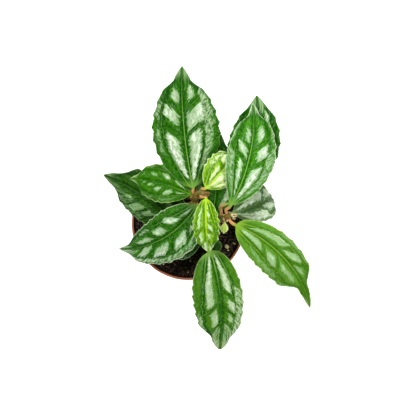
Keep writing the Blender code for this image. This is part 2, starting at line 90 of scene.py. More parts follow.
# The leaves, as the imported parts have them: sizes in mm, and places as shares of the blade's
# length or half width. A pair says between which shares of the length something sets in.
STALK_GAP = 0.4
STALK_RADIUS = 1.15
STALK_THINNEST = 0.35
STALK_FULL_WIDTH = 40.0
STALK_REACH = 0.4
STALK_NARROWS = (0.05, 1)
BLADE_THICKNESS = 0.7
BLADE_START = 0.08
TIP_HALF_WIDTH = 0.45
NECK_LENGTH = 0.12
MIDRIB_STEPS = 60
FOLD_RISE = 0.16
FOLD_FALL = 0.30
SIDE_VEIN_START = 0.45
SIDE_VEIN_END = 0.74
SIDE_VEINS_SPREAD = (0, 0.7)
QUILT_HEIGHT = 0.085
QUILT_GROWS = (0, 0.15)
OUTER_QUILT = 0.6
CROSS_VEINS = 5.0
CROSS_VEIN_START = 0.07
CROSS_VEIN_SLANT = 0.18
CROSS_VEIN_DEPTH = 0.5
CROSS_VEINS_GROW = (0.3, 0.5)
MARGIN_WAVES = 2.5
MARGIN_WAVE_HEIGHT = 0.05
WAVES_GROW = (0.1, 0.4)

# The keel under the midrib, in stalk radii, and the share of it that is gone at the tip
KEEL_DEPTH = 1.5
KEEL_WIDTH = 1.8
KEEL_TAPER = 0.75

# The stems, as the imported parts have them, in mm. They swell at a joint by a share of the radius.
STEM_STEP = 3.0
JOINT_LENGTH = 3.0
JOINT_SWELL = 0.35

# The leaf surfaces' grids: rows along the blade and along the stalk, and columns across a face
ROWS_PER_MM = 1.7
STALK_ROWS_PER_MM = 1.2
FEWEST_STALK_ROWS = 6
STALK_PROBES = 12
COLUMNS_PER_MM = 1.5
FEWEST_COLUMNS = 28

# The fine relief of a blade, in mm, with pairs as above. The side and cross veins' grooves are
# shares of the midrib's, and the edge is thinner by a share of the thickness.
PATCH_RISE = 0.42
HAZE_RISE = 0.21
PATCH_SLOPE = 1.3
GROOVE_DEPTH = 0.34
GROOVE_WIDTH = 0.75
SIDE_GROOVE = 0.75
SIDE_GROOVE_FADES = (0.9, 0.6)
CROSS_GROOVE = 0.55
CROSS_GROOVE_FADE = 2
RIB_RISE = 0.22
EDGE_THINNING = 0.5
EDGE_POWER = 8
RELIEF_GROWS = (0.02, 0.14)
RELIEF_CALMS = (0.8, 1)
RELIEF_AT_TIP = 0.4

# The markings: how much they slant, the mm over which their corners are rounded, the mm that
# stand for far from any, and how they spread from the blade's base
PATCH_SLANT = 0.2
PATCH_MIDDLE = 0.35
CORNER = 0.8
FAR = 9.0
MARKS_AT_BASE = 0.62
MARKS_SPREAD = (0.04, 0.36)

# The teeth of a blade's margin: how far into a tooth the margin starts, the share of each that
# rises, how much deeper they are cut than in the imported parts, and the depth of the nicks
TOOTH_SHIFT = 0.4
TOOTH_LEAN = 0.72
TOOTH_GAIN = 1.35
NICK_DEPTH = 0.02
TEETH_GROW = (0.12, 0.35)

# What a leaf's material reads at its points, and the colours and strengths that it is given:
# each tone's own ones and those that all the leaves share
LEAF_MAP = "blade"
LEAF_GROUP = "Leaf colouring"
LEAF_VALUES = ("midrib", "side_vein", "cross_vein", "margin", "silver", "haze", "share", "under")
TONE_COLOURS = ("Green", "Deep", "Silver", "Vein", "Edge")
TONE_STRENGTHS = ("Haze", "Shine", "Ragged", "Mottle")
# Glint is the white of the painted highlights on the silver patches
SHARED_COLOURS = ("Glint", "Underside", "Stalk")

# A leaf's noises, as spots in a centimetre, detail and roughness, two ways to draw them out, and
# the strengths of what is made from them
RAGGED_NOISE = (5.5, 4, 0.6)
FINE_NOISE = (8.0, 3, 0.65)
SKIN_NOISE = (24.0, 4, 0.6)
DRAWN = (0.45, 1.0, 1.0)
STREAKED = (1.0, 0.4, 1.0)
FLECK_STRENGTH = 0.38
FLECK_SILVER = 0.62
SPARK_STRENGTH = 0.7

# Fades across a leaf: the two distances in mm, and the strengths there where not 0 and 1.
# LINES_NARROW is how much the veins' lines narrow towards the tip, in mm.
DEEP_BY_VEIN = (0.2, 3.4, 1.0, 0.0)
DEEP_BY_CROSS_VEIN = (0.2, 2.2, 0.8, 0.0)
RAGGED_BY_VEIN = (0.3, 3.0, 0.4, 1.15)
HAZE_EDGE = (-0.4, 1.2)
SHEEN_BY_VEIN = (0.4, 5.0, 0.95, 0.6)
PATCH_EDGE = (0.3, 0.55)
BRIGHT_WITHIN = (0.3, 1.6)
BRIGHT_BY_VEIN = (2.0, 9.0, 1.0, 0.35)
# Where on the silver patches the painted highlights (glints) gather
GLINTS_WITHIN = (1.0, 2.4)
GLINTS_BY_VEIN = (2.0, 8.0, 1.0, 0.3)
SPECKS_WITHIN = (0.5, 3.0, 0.7, 0.25)
MIDRIB_LINE = (0.28, 0.6, 0.9, 0.0)
SIDE_VEIN_LINE = (0.18, 0.6, 0.75, 0.0)
CROSS_VEIN_LINE = (0.1, 0.42, 0.55, 0.0)
LINES_NARROW = 0.25
RIM_LINE = (0.25, 0.85, 0.9, 0.0)
TIP_BY_MIDRIB = (0.3, 1.6)
VEINS_BELOW = (0.3, 1.1, 0.7, 0.0)

# Fades along a leaf: the two shares of the blade's length, and the strengths there
MIDRIB_FADES = (0.45, 0.85, 1.0, 0.5)
SIDE_VEIN_FADES = (0.45, 0.8, 1.0, 0.0)
TIP_COLOURED = (0.86, 0.97, 0.0, 0.8)
BASE_COLOURED = (0.0, 0.09, 0.9, 0.0)
STALK_COLOURED = (-0.3, 0.04, 1.0, 0.0)

# A leaf's gloss, with what its patches, its underside and noise add to the roughness, and the
# depth in metres and strength of its skin's relief
LEAF_ROUGHNESS = 0.26
PATCH_ROUGHNESS = 0.1
UNDER_ROUGHNESS = 0.3
UNEVEN_ROUGHNESS = 0.25
PATCH_COAT = 0.6
LEAF_SPECULAR = 0.05
LEAF_COAT_ROUGHNESS = 0.2
SKIN_RAGGEDNESS = 0.8
LEAF_BUMP = (0.0002, 0.3)

# The pot's grid, the share of a short side that a rounded corner takes, the degrees from which an
# edge is sharp, and the drills' sides and ends in mm
POT_SIDES = 144
CORNER_STEPS = 4
ROUNDED_SHARE = 0.4
SHARP_ANGLE = 35
DRILL_SIDES = 32
DRILL_ENDS = (-2.0, 8.0)

# The soil's and the stems' grids: sides, and mm between rings
SOIL_SIDES = 200
SOIL_RING_STEP = 0.55
STEM_RING_STEP = 0.4
STEM_SIDES = 28

# The soil's lumps and the loose bits on it: radii and heights in mm, rises as shares of a bit's
# radius, grids as rings and sides, and how far a bit is stretched and dented
SOIL_SEED = 11
LUMP_RADIUS = (0.7, 2.6)
LUMP_HEIGHT = (0.3, 1.2)
LUMP_SIZE_POWER = 1.8
LUMPS_AT_WALL = 0.25
LOOSE_REACH = 41.3
CRUMB_RADIUS = (0.3, 1.1)
CRUMB_RISE = 0.2
CRUMB_FLATNESS = 0.75
CRUMB_GRID = (6, 9)
SPECKS = 26
SPECK_RADIUS = (0.3, 0.8)
GRAIN_RISE = 0.3
GRAIN_FLATNESS = 0.8
GRAIN_GRID = (8, 12)
BLOB_POLE = 0.28
BLOB_STRETCH = (0.85, 1.35)
BLOB_DENT = (0.83, 1.17)

# The pale grains that show most, as x, y and radius in mm
PALE_GRAINS = ((30.8, -18.4, 1.5), (35.9, -15.8, 0.5), (-34.6, -10.4, 0.8), (8.0, -36.5, 0.75),
               (-20.0, -32.5, 0.6))

# A stem's skin, in mm: the rings at its joints, the reach of their brown and the drawn-in ends.
# END_RADIUS and STEM_RIB_HEIGHT are shares of the radius, and STEM_TWIST is in radians a mm.
RING_RISE = 0.16
RING_WIDTH = 0.45
JOINT_BROWN_REACH = 3.2
END_LENGTH = 1.2
END_RADIUS = 0.55
STEM_RIBS = 5
STEM_RIB_HEIGHT = 0.035
STEM_TWIST = 0.05

# A papery scale: its grid, its thickness in mm, and the shape of its section and outline
SCALE_SIDES = 14
SCALE_ROWS = 18
SCALE_THICKNESS = 0.22
SCALE_BULGE = 0.5
SCALE_FOOT = 0.12
SCALE_SKEW = 0.8
SCALE_FULLNESS = 0.8
SCALE_TIP = 0.06

# The scales at the buds: their length and places in mm, how far round the first one is, and each
# whorl's width in mm and lean and curl in degrees
BUD_SCALES = 6
BUD_SCALE_LENGTH = 4.62
BUD_RADIUS = 0.55
BUD_INNER_STEP = 0.2
BUD_TURN = 0.25
BUD_OUTER_SCALE = (3.0, 34, 30)
BUD_INNER_SCALE = (2.3, 18, 26)

# The scales at a stem's joints: the ranges of their length and width in mm and of their lean and
# curl in degrees, and how far from the joint they start, in mm
SCALE_SEED = 5
JOINT_SCALES = 7
JOINT_SCALE_SHAPE = ((2.4, 4.6), (1.3, 2.4), (30, 75), (-20, 40))
JOINT_SCALE_RISE = (-1.2, 1.6)
JOINT_SCALE_SINK = 0.3

# How a scale pales towards its dry tip: from and to which share of it, and how much
DRY_TIP = (0.25, 0.75, 0.0, 0.95)


class Spots(NamedTuple):
    """Noise with scale spots in a unit of the place, and the levels between which they come in."""
    scale: float
    detail: float
    roughness: float
    low: float
    high: float


# On a leaf, a unit of the place is a centimetre, and elsewhere it is a metre
BROAD = Spots(1.3, 2, 0.55, 0.45, 0.7)
MOTTLES = Spots(5.5, 3, 0.65, 0.42, 0.58)
FLECKS = Spots(7.5, 2, 0.6, 0.6, 0.64)
BLOTCHES = Spots(4.5, 4, 0.75, 0.43, 0.55)
SPARKS = Spots(9.0, 2, 0.6, 0.56, 0.6)
BRIGHT = Spots(6.5, 4, 0.75, 0.40, 0.52)
# GLINTS draws the painted highlights on the silver patches
GLINTS = Spots(6.0, 4, 0.7, 0.46, 0.54)
SPECKLES = Spots(8.0, 2, 0.5, 0.6, 0.66)
FIBRES = Spots(520, 2, 0.6, 0.57, 0.63)
BITS = Spots(700, 1, 0.5, 0.70, 0.73)
CLOUDS = Spots(1.5, 3, 0.55, 0.3, 0.7)


class Texture(NamedTuple):
    """How a surface varies: the lighter and darker colours mottled into its own, the spots in a
    metre, the share of mottling, the mean roughness and the relief's depth in metres."""
    light: tuple
    dark: tuple
    size: float
    amount: float
    roughness: float
    bump: float


# The group that mottles a surface: the sizes of its broad mottles and of its relief against the
# texture's own, the levels of its mask, and how far the roughness spreads
GRAIN_GROUP = "Uneven grain"
BROAD_SIZE = 0.16
RELIEF_SIZE = 2.4
MASK_LEVELS = (0.3, 0.7)
ROUGHNESS_SPREAD = 0.06
GRAIN_BUMP_STRENGTH = 0.6
STEM_TEXTURE = Texture((0.42, 0.33, 0.09), (0.10, 0.06, 0.01), 900, 0.7, 0.42, 0.0002)
SCALE_TEXTURE = Texture((0.50, 0.37, 0.14), (0.07, 0.03, 0.008), 1000, 0.9, 0.6, 0.00015)
POT_TEXTURE = Texture((0.52, 0.18, 0.065), (0.30, 0.075, 0.022), 420, 0.45, 0.4, 0.0001)
SOIL_TEXTURE = Texture((0.014, 0.007, 0.005), (0.001, 0.0006, 0.0005), 700, 1.0, 0.5, 0.0016)
CRUMB_TEXTURE = Texture((0.05, 0.024, 0.014), (0.002, 0.001, 0.001), 1800, 0.8, 0.6, 0.0003)
GRAIN_TEXTURE = Texture((0.95, 0.88, 0.72), (0.60, 0.38, 0.16), 1600, 0.7, 0.7, 0.0002)

# The soil's gloss and the strength of its fibres, and in mm how unevenly the dark colour reaches
# over the pot's lip and the heights over which the band and the wall inside turn dark
SOIL_SPECULAR = 0.2
FIBRE_STRENGTH = 0.85
LIP_DARK_WOBBLE = 1.2
LIP_DARK_EDGE = (-0.2, 0.7)
BAND_DARKENS = 0.5
WALL_DARKENS = (1, 3)


class Stem(NamedTuple):
    """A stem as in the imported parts: the points of its axis, two radii and its joints' heights.
    pale is how pale its scales' tips are, from 0 to 1."""
    name: str
    route: tuple
    foot_radius: float
    tip_radius: float
    joints: tuple
    pale: float


class Leaf(NamedTuple):
    """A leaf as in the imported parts, with its markings; sizes in mm and angles in degrees.

    Its stalk starts on stem at the height stalk_z and runs to base, bent sideways by bow. The
    blade's middle heads towards heading, anticlockwise from +X, and the blade sweeps to the left
    by turn. It climbs by rise at its base and bends down by droop in all, most of it near the tip
    where late is above 1. roll tips its right side down.

    width is scaled by left and right on the two sides. The blade is widest at the share widest of
    its length, fuller with a lower fullness, and narrower by the share pinch past the share neck.
    The margin has rows nicks and half as many teeth, as deep as the share tooth of the half
    width, and waves that start wave_start of a wave on.

    tone picks the colours. A marking is (start, end, inner, outer): start and end are shares of
    the blade's length, taken PATCH_MIDDLE of the way out, and inner and outer are shares of the
    half width. silver marks lie between the midrib and a side vein, and haze is the mottled
    sheen outside."""
    name: str
    stem: str
    stalk_z: float
    base: tuple
    heading: float
    turn: float
    rise: float
    droop: float
    length: float
    width: float
    widest: float = 0.47
    fullness: float = 0.75
    pinch: float = 0.5
    neck: float = 0.78
    left: float = 1.0
    right: float = 1.0
    roll: float = 0.0
    late: float = 1.0
    wave_start: float = 0.0
    tooth: float = 0.022
    bow: float = 0.0
    rows: int = 20
    tone: str = "mature"
    left_silver: tuple = ((0.08, 0.44, 0.16, 0.5), (0.5, 0.61, 0.1, 0.62), (0.66, 0.77, 0.1, 0.45))
    right_silver: tuple = ((0.08, 0.44, 0.16, 0.5), (0.49, 0.62, 0.14, 0.64),
                           (0.68, 0.78, 0.16, 0.5))
    left_haze: tuple = ((0.12, 0.42, 0.72, 0.92), (0.48, 0.7, 0.78, 0.95))
    right_haze: tuple = ((0.12, 0.45, 0.7, 0.92), (0.5, 0.7, 0.78, 0.95))


STEMS = (
    Stem("left_stem",
         ((2.0, 4.0, 52.0), (2.6, 6.5, 82.0), (3.6, 12.0, 100.0), (5.2, 17.5, 114.0),
          (6.2, 20.8, 124.0), (9.6, 23.6, 129.5), (13.0, 22.8, 134.0)),
         2.5, 1.5, (96.0, 117.0, 125.0), 0.35),
    Stem("right_stem",
         ((20.0, -3.0, 52.0), (21.2, -1.0, 84.0), (23.0, 2.0, 100.0), (26.2, 4.6, 112.0),
          (29.4, 6.2, 123.5), (33.0, 6.4, 129.5)),
         2.3, 1.4, (94.0, 107.0, 124.0), 1.0),
    Stem("front_stem",
         ((12.0, -8.0, 52.0), (13.0, -9.4, 80.0), (14.6, -11.6, 92.0), (15.6, -13.6, 101.0)),
         2.1, 1.3, (81.0, 89.0, 98.0), 0.5),
)

LEAVES = (
    Leaf("leaf_top", "left_stem", 125.0, (4.6, 26.9, 128.0), 95.2, -13, 12, 30, 92, 49,
         widest=0.46, pinch=0.4, left=0.95, right=1.07,
         left_silver=((0.1, 0.43, 0.16, 0.6), (0.53, 0.64, 0.13, 0.7), (0.7, 0.81, 0.08, 0.5)),
         right_silver=((0.08, 0.46, 0.1, 0.5), (0.49, 0.64, 0.08, 0.68),
                       (0.71, 0.82, 0.18, 0.5)),
         left_haze=((0.47, 0.62, 0.78, 0.97), (0.2, 0.4, 0.75, 0.9)),
         right_haze=((0.1, 0.5, 0.57, 0.82), (0.4, 0.72, 0.62, 0.92))),
    Leaf("leaf_left", "left_stem", 117.0, (2.9, 21.9, 120.0), 164.8, 24, 10, 34, 48.5, 28.5,
         widest=0.5, fullness=0.7, wave_start=0.3, rows=16, tone="bright",
         left_silver=((0.08, 0.25, 0.2, 0.5), (0.28, 0.41, 0.18, 0.6), (0.48, 0.59, 0.15, 0.48),
                      (0.62, 0.73, 0.05, 0.32), (0.77, 0.83, 0.02, 0.25)),
         right_silver=((0.1, 0.31, 0.25, 0.55), (0.35, 0.48, 0.25, 0.62),
                       (0.54, 0.67, 0.28, 0.55), (0.72, 0.81, 0.3, 0.5))),
    # This leaf's dark tone is painted shade from the leaf above it
    Leaf("leaf_far_left", "front_stem", 89.0, (-3.8, -4.1, 94.0), 145.8, 24, 14, 30, 76.2, 37,
         widest=0.42, pinch=0.35, neck=0.72, left=0.94, right=1.14, wave_start=0.6, tone="dark",
         left_silver=((0.06, 0.27, 0.2, 0.5), (0.3, 0.4, 0.34, 0.7), (0.42, 0.54, 0.34, 0.84),
                      (0.6, 0.68, 0.3, 0.55)),
         right_silver=((0.08, 0.4, 0.2, 0.5), (0.46, 0.56, 0.2, 0.55)),
         left_haze=((0.3, 0.55, 0.76, 0.95), (0.55, 0.9, 0.35, 0.9)), right_haze=()),
    Leaf("leaf_low_left", "left_stem", 115.0, (7.4, 14.4, 118.0), -152.4, -62, 0, 40, 79.5, 39,
         widest=0.38, right=0.92, wave_start=0.1, tone="rimmed",
         left_silver=((0.1, 0.22, 0.42, 0.66), (0.24, 0.38, 0.26, 0.68), (0.44, 0.58, 0.2, 0.66),
                      (0.64, 0.74, 0.04, 0.62)),
         right_silver=((0.06, 0.17, 0.24, 0.46), (0.21, 0.33, 0.24, 0.7),
                       (0.39, 0.52, 0.14, 0.52), (0.58, 0.75, 0.1, 0.42)),
         left_haze=((0.1, 0.5, 0.74, 0.97), (0.5, 0.8, 0.66, 0.95), (0.78, 0.97, 0.1, 0.9)),
         right_haze=((0.06, 0.2, 0.2, 0.5), (0.5, 0.64, 0.6, 0.8), (0.84, 0.98, 0.1, 0.9))),
    Leaf("leaf_centre", "left_stem", 131.0, (14.2, 18.7, 137.0), -87.1, 10, 12, 50, 40.9, 19.5,
         widest=0.5, fullness=0.5, pinch=0.3, tooth=0.06, rows=16, tone="young",
         left_silver=((0.06, 0.42, 0.02, 0.34), (0.46, 0.58, 0.02, 0.5), (0.63, 0.8, 0.02, 0.3)),
         right_silver=((0.12, 0.5, 0.4, 0.7), (0.53, 0.76, 0.36, 0.68), (0.79, 0.94, 0.1, 0.6)),
         left_haze=((0.84, 0.99, 0.05, 0.95),), right_haze=((0.8, 0.99, 0.05, 0.95),)),
    Leaf("leaf_back", "left_stem", 131.5, (14.1, 26.7, 136.0), 46.7, 0, 12, 24, 35.1, 26,
         widest=0.5, fullness=0.6, roll=14, tooth=0.05, rows=14, tone="pale",
         left_silver=((0.1, 0.54, 0.12, 0.42), (0.6, 0.86, 0.16, 0.7)),
         right_silver=((0.05, 0.5, 0.03, 0.42), (0.05, 0.5, 0.5, 0.86), (0.55, 0.86, 0.06, 0.8)),
         left_haze=((0.3, 0.7, 0.6, 0.9),), right_haze=((0.05, 0.9, 0.05, 0.98),)),
    Leaf("leaf_right", "right_stem", 126.0, (32.2, 14.4, 138.0), 77.9, 34, 24, 46, 78.2, 35,
         widest=0.49, left=0.93, right=1.05, wave_start=0.5, tone="fresh",
         left_silver=((0.07, 0.45, 0.18, 0.46), (0.5, 0.6, 0.08, 0.62), (0.64, 0.77, 0.08, 0.4)),
         right_silver=((0.07, 0.4, 0.16, 0.6), (0.45, 0.57, 0.25, 0.72),
                       (0.63, 0.76, 0.2, 0.56)),
         left_haze=((0.04, 0.44, 0.6, 0.99), (0.5, 0.72, 0.86, 0.98)),
         right_haze=((0.04, 0.48, 0.66, 0.99), (0.5, 0.72, 0.84, 0.98))),
    Leaf("leaf_behind", "right_stem", 107.0, (31.3, 15.6, 118.0), 75.6, 40, 22, 36, 85.6, 38,
         widest=0.55, pinch=0.25, neck=0.82, bow=8, wave_start=0.2,
         right_silver=((0.08, 0.44, 0.16, 0.5), (0.49, 0.6, 0.14, 0.64), (0.72, 0.84, 0.36, 0.66)),
         left_haze=(), right_haze=((0.84, 0.97, 0.1, 0.9),)),
    Leaf("leaf_grey", "right_stem", 104.0, (34.6, 8.4, 106.5), 22.5, 14, 8, 112, 41.4, 28.5,
         widest=0.58, fullness=0.5, pinch=0.3, left=1.18, right=0.98, late=2.4, rows=16,
         tone="grey",
         left_silver=((0.06, 0.6, 0.12, 0.56), (0.63, 0.84, 0.12, 0.62)),
         right_silver=((0.04, 0.56, 0.34, 0.88), (0.58, 0.76, 0.1, 0.6))),
    Leaf("leaf_low_right", "right_stem", 123.0, (36.4, -0.5, 126.0), -49.1, -54, 6, 46, 96.2, 31,
         widest=0.4, fullness=0.64, pinch=0.6, neck=0.64, left=0.87, right=1.19, wave_start=0.8,
         tone="soft",
         left_silver=((0.12, 0.37, 0.3, 0.72), (0.42, 0.53, 0.18, 0.7), (0.58, 0.67, 0.1, 0.44)),
         right_silver=((0.07, 0.27, 0.08, 0.5), (0.31, 0.43, 0.2, 0.6), (0.47, 0.68, 0.2, 0.44)),
         left_haze=((0.2, 0.5, 0.8, 0.95),)),
    Leaf("leaf_bottom", "front_stem", 98.0, (17.6, -20.6, 106.0), -85, -25, 12, 44, 81.3, 37.8,
         widest=0.45, fullness=0.5, pinch=0.35, neck=0.75, left=0.91, right=1.12, tone="olive",
         left_silver=((0.03, 0.4, 0.16, 0.56), (0.45, 0.55, 0.26, 0.66), (0.6, 0.68, 0.28, 0.6),
                      (0.73, 0.78, 0.28, 0.52)),
         right_silver=((0.03, 0.53, 0.22, 0.54), (0.57, 0.74, 0.14, 0.44),
                       (0.78, 0.86, 0.04, 0.22)),
         left_haze=((0.28, 0.9, 0.64, 0.99), (0.72, 0.97, 0.1, 0.95)),
         right_haze=((0.5, 0.7, 0.78, 0.95), (0.76, 0.97, 0.15, 0.95))),
    Leaf("leaf_under", "front_stem", 81.0, (10.0, -15.3, 86.0), -168.2, 0, 6, 20, 31.7, 20,
         widest=0.5, rows=12, tone="rimmed"),
    Leaf("leaf_dark_low", "right_stem", 93.0, (19.6, 5.0, 96.5), 84.5, 0, 12, 28, 65.3, 34,
         widest=0.5, rows=16, left_silver=((0.5, 0.66, 0.1, 0.5),),
         right_silver=((0.08, 0.34, 0.5, 0.95), (0.5, 0.66, 0.2, 0.6))),
    # This leaf's dark tone is painted shade where it lies under the others
    Leaf("leaf_small", "front_stem", 91.0, (20.3, -11.9, 94.0), -74.1, 0, 5, 30, 11.7, 9,
         widest=0.5, rows=8, tone="dark"),
    Leaf("leaf_tiny", "right_stem", 117.0, (28.2, 1.2, 121.0), -97, 0, 0, 30, 8.6, 6,
         widest=0.5, rows=8, tone="cream"),
)

# Each tone's green, deep green, silver, vein and edge colours, as linear red, green and blue, the
# strengths of its haze and of the painted white highlights on its silver, how far its marks' edges
# break, and the strength of its dark mottling
TONES = {
    "mature": ((0.034, 0.178, 0.003), (0.006, 0.076, 0.0005), (0.44, 0.62, 0.33),
               (0.17, 0.36, 0.05), (0.16, 0.36, 0.08), 0.85, 1.0, 7.0, 1.0),
    "rimmed": ((0.038, 0.180, 0.005), (0.007, 0.078, 0.0005), (0.43, 0.61, 0.35),
               (0.13, 0.30, 0.04), (0.58, 0.74, 0.45), 1.0, 0.6, 5.0, 1.0),
    "fresh": ((0.066, 0.285, 0.010), (0.014, 0.125, 0.0005), (0.51, 0.72, 0.41),
              (0.20, 0.43, 0.05), (0.68, 0.86, 0.52), 0.65, 1.0, 5.5, 0.9),
    "bright": ((0.046, 0.21, 0.003), (0.018, 0.120, 0.0005), (0.37, 0.58, 0.27),
               (0.14, 0.32, 0.02), (0.50, 0.70, 0.24), 0.5, 0.2, 3.0, 0.7),
    "soft": ((0.118, 0.31, 0.026), (0.046, 0.17, 0.003), (0.35, 0.56, 0.25),
             (0.24, 0.44, 0.035), (0.42, 0.60, 0.16), 0.6, 0.1, 3.5, 0.4),
    "olive": ((0.066, 0.215, 0.008), (0.009, 0.092, 0.0005), (0.46, 0.63, 0.34),
              (0.22, 0.44, 0.07), (0.36, 0.50, 0.20), 1.0, 0.5, 4.5, 0.45),
    # The dark tone is a darker copy of the leaf colours, painted shade for the low leaves that lie
    # under others
    "dark": ((0.030, 0.122, 0.006), (0.007, 0.050, 0.0005), (0.25, 0.42, 0.17),
             (0.05, 0.13, 0.02), (0.18, 0.30, 0.10), 0.5, 0.1, 4.0, 1.0),
    "grey": ((0.155, 0.29, 0.100), (0.080, 0.175, 0.045), (0.80, 0.94, 0.71),
             (0.20, 0.33, 0.12), (0.34, 0.46, 0.26), 0.9, 0.6, 7.0, 1.0),
    "young": ((0.25, 0.50, 0.012), (0.055, 0.20, 0.001), (0.72, 0.90, 0.56),
              (0.46, 0.72, 0.02), (0.60, 0.80, 0.28), 1.0, 0.8, 3.5, 0.5),
    "pale": ((0.28, 0.55, 0.02), (0.07, 0.24, 0.001), (0.84, 0.95, 0.50),
             (0.44, 0.68, 0.05), (0.80, 0.92, 0.45), 0.9, 0.4, 3.5, 0.6),
    # The tiniest leaf's tone is its pale young colour pushed near white, partly painted light for a
    # leaf that lies in the others' shade
    "cream": ((0.86, 0.99, 0.28), (0.55, 0.80, 0.10), (0.96, 0.98, 0.66),
              (0.70, 0.88, 0.18), (0.94, 0.98, 0.60), 0.8, 0.2, 3.5, 0.5),
}

# The young leaves' tones, and how much wider their midribs' light line is
YOUNG_TONES = ("young", "pale", "cream")
YOUNG_MIDRIB = 2.0

# The stage, in metres and watts, with the camera's sensor and its place over the plant in mm
FLOOR_HALF_SIZE = 4.0
FLOOR_ROUGHNESS = 0.9
FLOOR_GLOW = 0.82
ROOM_LIGHT = 0.07
CAMERA_X = 15.6
CAMERA_Y = 12.2
SENSOR_WIDTH = 36
LIGHT_AIM = (0.015, 0.01, 0.1)
LIGHTS = (("key", (-0.34, 0.36, 1.1), 0.36, 9.0),
          ("fill", (0.5, -0.34, 0.95), 0.4, 5.4),
          ("rim", (0.15, 0.8, 0.75), 0.3, 2.4))


def ease(low, high, x):
    """0 below low, 1 above high, and a smooth step between. It falls where low is above high."""
    share = np.clip((x - low) / (high - low), 0, 1)
    return share * share * (3 - 2 * share)


def soft_min(a, b, rounding):
    """The smaller of a and b, with the corner between them rounded off."""
    return -rounding * np.logaddexp(-a / rounding, -b / rounding)


def add_to_scene(name, data):
    """A new object of the mesh, light or camera, in the scene."""
    made = bpy.data.objects.new(name, data)
    bpy.context.scene.collection.objects.link(made)
    return made


def new_piece(name, points, quads, triangles, finish):
    """An object at the origin, from points in mm and faces as rows of point numbers. The rows are
    turned round where the closed surface would face inwards."""
    corners = points[triangles]
    volume = np.sum(corners[:, 0] * np.cross(corners[:, 1], corners[:, 2]))
    corners = points[quads]
    volume += np.sum(corners[:, 0] * np.cross(corners[:, 1], corners[:, 2]))
    volume += np.sum(corners[:, 0] * np.cross(corners[:, 2], corners[:, 3]))
    if volume < 0:
        quads = quads[:, ::-1]
        triangles = triangles[:, ::-1]
    mesh = bpy.data.meshes.new(name)
    mesh.from_pydata((points * MM).tolist(), [], quads.tolist() + triangles.tolist())
    mesh.shade_smooth()
    mesh.materials.append(finish)
    return add_to_scene(name, mesh)


def place_piece(piece, slot, *nodes):
    """The piece rides on the plant and stands for the named parts. The slot is not used."""
    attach(piece, BODY)
    if nodes:
        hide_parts(*nodes)


def add_value(piece, name, values):
    """A number for each point of the piece, which its material reads."""
    data = piece.data.attributes.new(name, "FLOAT", "POINT")
    data.data.foreach_set("value", np.ascontiguousarray(values, np.float32).ravel())


def add_map(piece, name, places):
    """A UV map from one place for each point of the piece."""
    layer = piece.data.uv_layers.new(name=name)
    corner_points = np.empty(len(piece.data.loops), np.int32)
    piece.data.loops.foreach_get("vertex_index", corner_points)
    layer.uv.foreach_set("vector", places[corner_points].astype(np.float32).ravel())


def closed_tubes(rings):
    """Points and faces of tubes, from an array of tubes by rings by sides by 3. Quads join each
    ring to the next, and a fan of triangles to a middle point closes each end."""
    tubes, count, sides = rings.shape[:3]
    ends = np.stack([rings[:, 0].mean(axis=1), rings[:, -1].mean(axis=1)], axis=1)
    points = np.concatenate([rings.reshape(-1, 3), ends.reshape(-1, 3)])
    tube, ring, side = np.meshgrid(np.arange(tubes), np.arange(count - 1), np.arange(sides),
                                   indexing="ij")
    start = (tube * count + ring) * sides
    after = (side + 1) % sides
    quads = np.stack([start + side, start + after, start + sides + after, start + sides + side],
                     axis=-1).reshape(-1, 4)
    tube, side = np.meshgrid(np.arange(tubes), np.arange(sides), indexing="ij")
    after = (side + 1) % sides
    first = tube * count * sides
    last = first + (count - 1) * sides
    middle = tubes * count * sides + 2 * tube
    low = np.stack([middle, first + after, first + side], axis=-1)
    high = np.stack([middle + 1, last + side, last + after], axis=-1)
    return points, quads, np.concatenate([low.reshape(-1, 3), high.reshape(-1, 3)])


def with_ends(values):
    """Values for the points that closed_tubes makes, from an array of tubes by rings by sides."""
    ends = np.stack([values[:, 0].mean(axis=1), values[:, -1].mean(axis=1)], axis=1)
    return np.concatenate([values.reshape(-1, *values.shape[3:]),
                           ends.reshape(-1, *values.shape[3:])])


def half_width(leaf, s):
    """The outline: a sine arch moved so that it peaks at widest, narrowed past the neck."""
    skew = math.log(0.5) / math.log(leaf.widest)
    arch = np.sin(np.pi * np.clip(s, 0, 1) ** skew) ** leaf.fullness
    narrowing = 1 - leaf.pinch * ease(leaf.neck, leaf.neck + NECK_LENGTH, s)
    return leaf.width / 2 * arch * narrowing


def saw(turns):
    """A leaning tooth for each whole turn, from 0 at its foot to 1 at its point."""
    part = (turns + TOOTH_SHIFT) % 1.0
    return np.where(part < TOOTH_LEAN, part / TOOTH_LEAN, (1 - part) / (1 - TOOTH_LEAN))


def teeth(leaf, s):
    """Forward teeth along all but the foot of the margin, with nicks half as long on them: each
    rises slowly and falls fast."""
    coarse = leaf.tooth * TOOTH_GAIN * (2 * saw(s * leaf.rows / 2) - 1)
    nicks = NICK_DEPTH * (2 * saw(s * leaf.rows) - 1)
    return 1 + (coarse + nicks) * ease(*TEETH_GROW, s)


def heading_at(leaf, s):
    """The midrib's direction at each share s of the blade: it climbs, bends down and sweeps."""
    climb = np.radians(leaf.rise - leaf.droop * s**leaf.late)
    compass = np.radians(leaf.heading + leaf.turn * (s - 0.5))
    return np.stack([np.cos(climb) * np.cos(compass), np.cos(climb) * np.sin(compass),
                     np.sin(climb)], axis=-1)


def midrib(leaf):
    """Stations along the blade, with the midrib's points and directions there. The points add up
    short steps, each in the direction at its middle."""
    s = np.linspace(0, 1, MIDRIB_STEPS + 1)
    steps = heading_at(leaf, (s[1:] + s[:-1]) / 2) * leaf.length / MIDRIB_STEPS
    points = np.vstack([np.zeros(3), np.cumsum(steps, axis=0)]) + np.array(leaf.base)
    return s, points, heading_at(leaf, s)


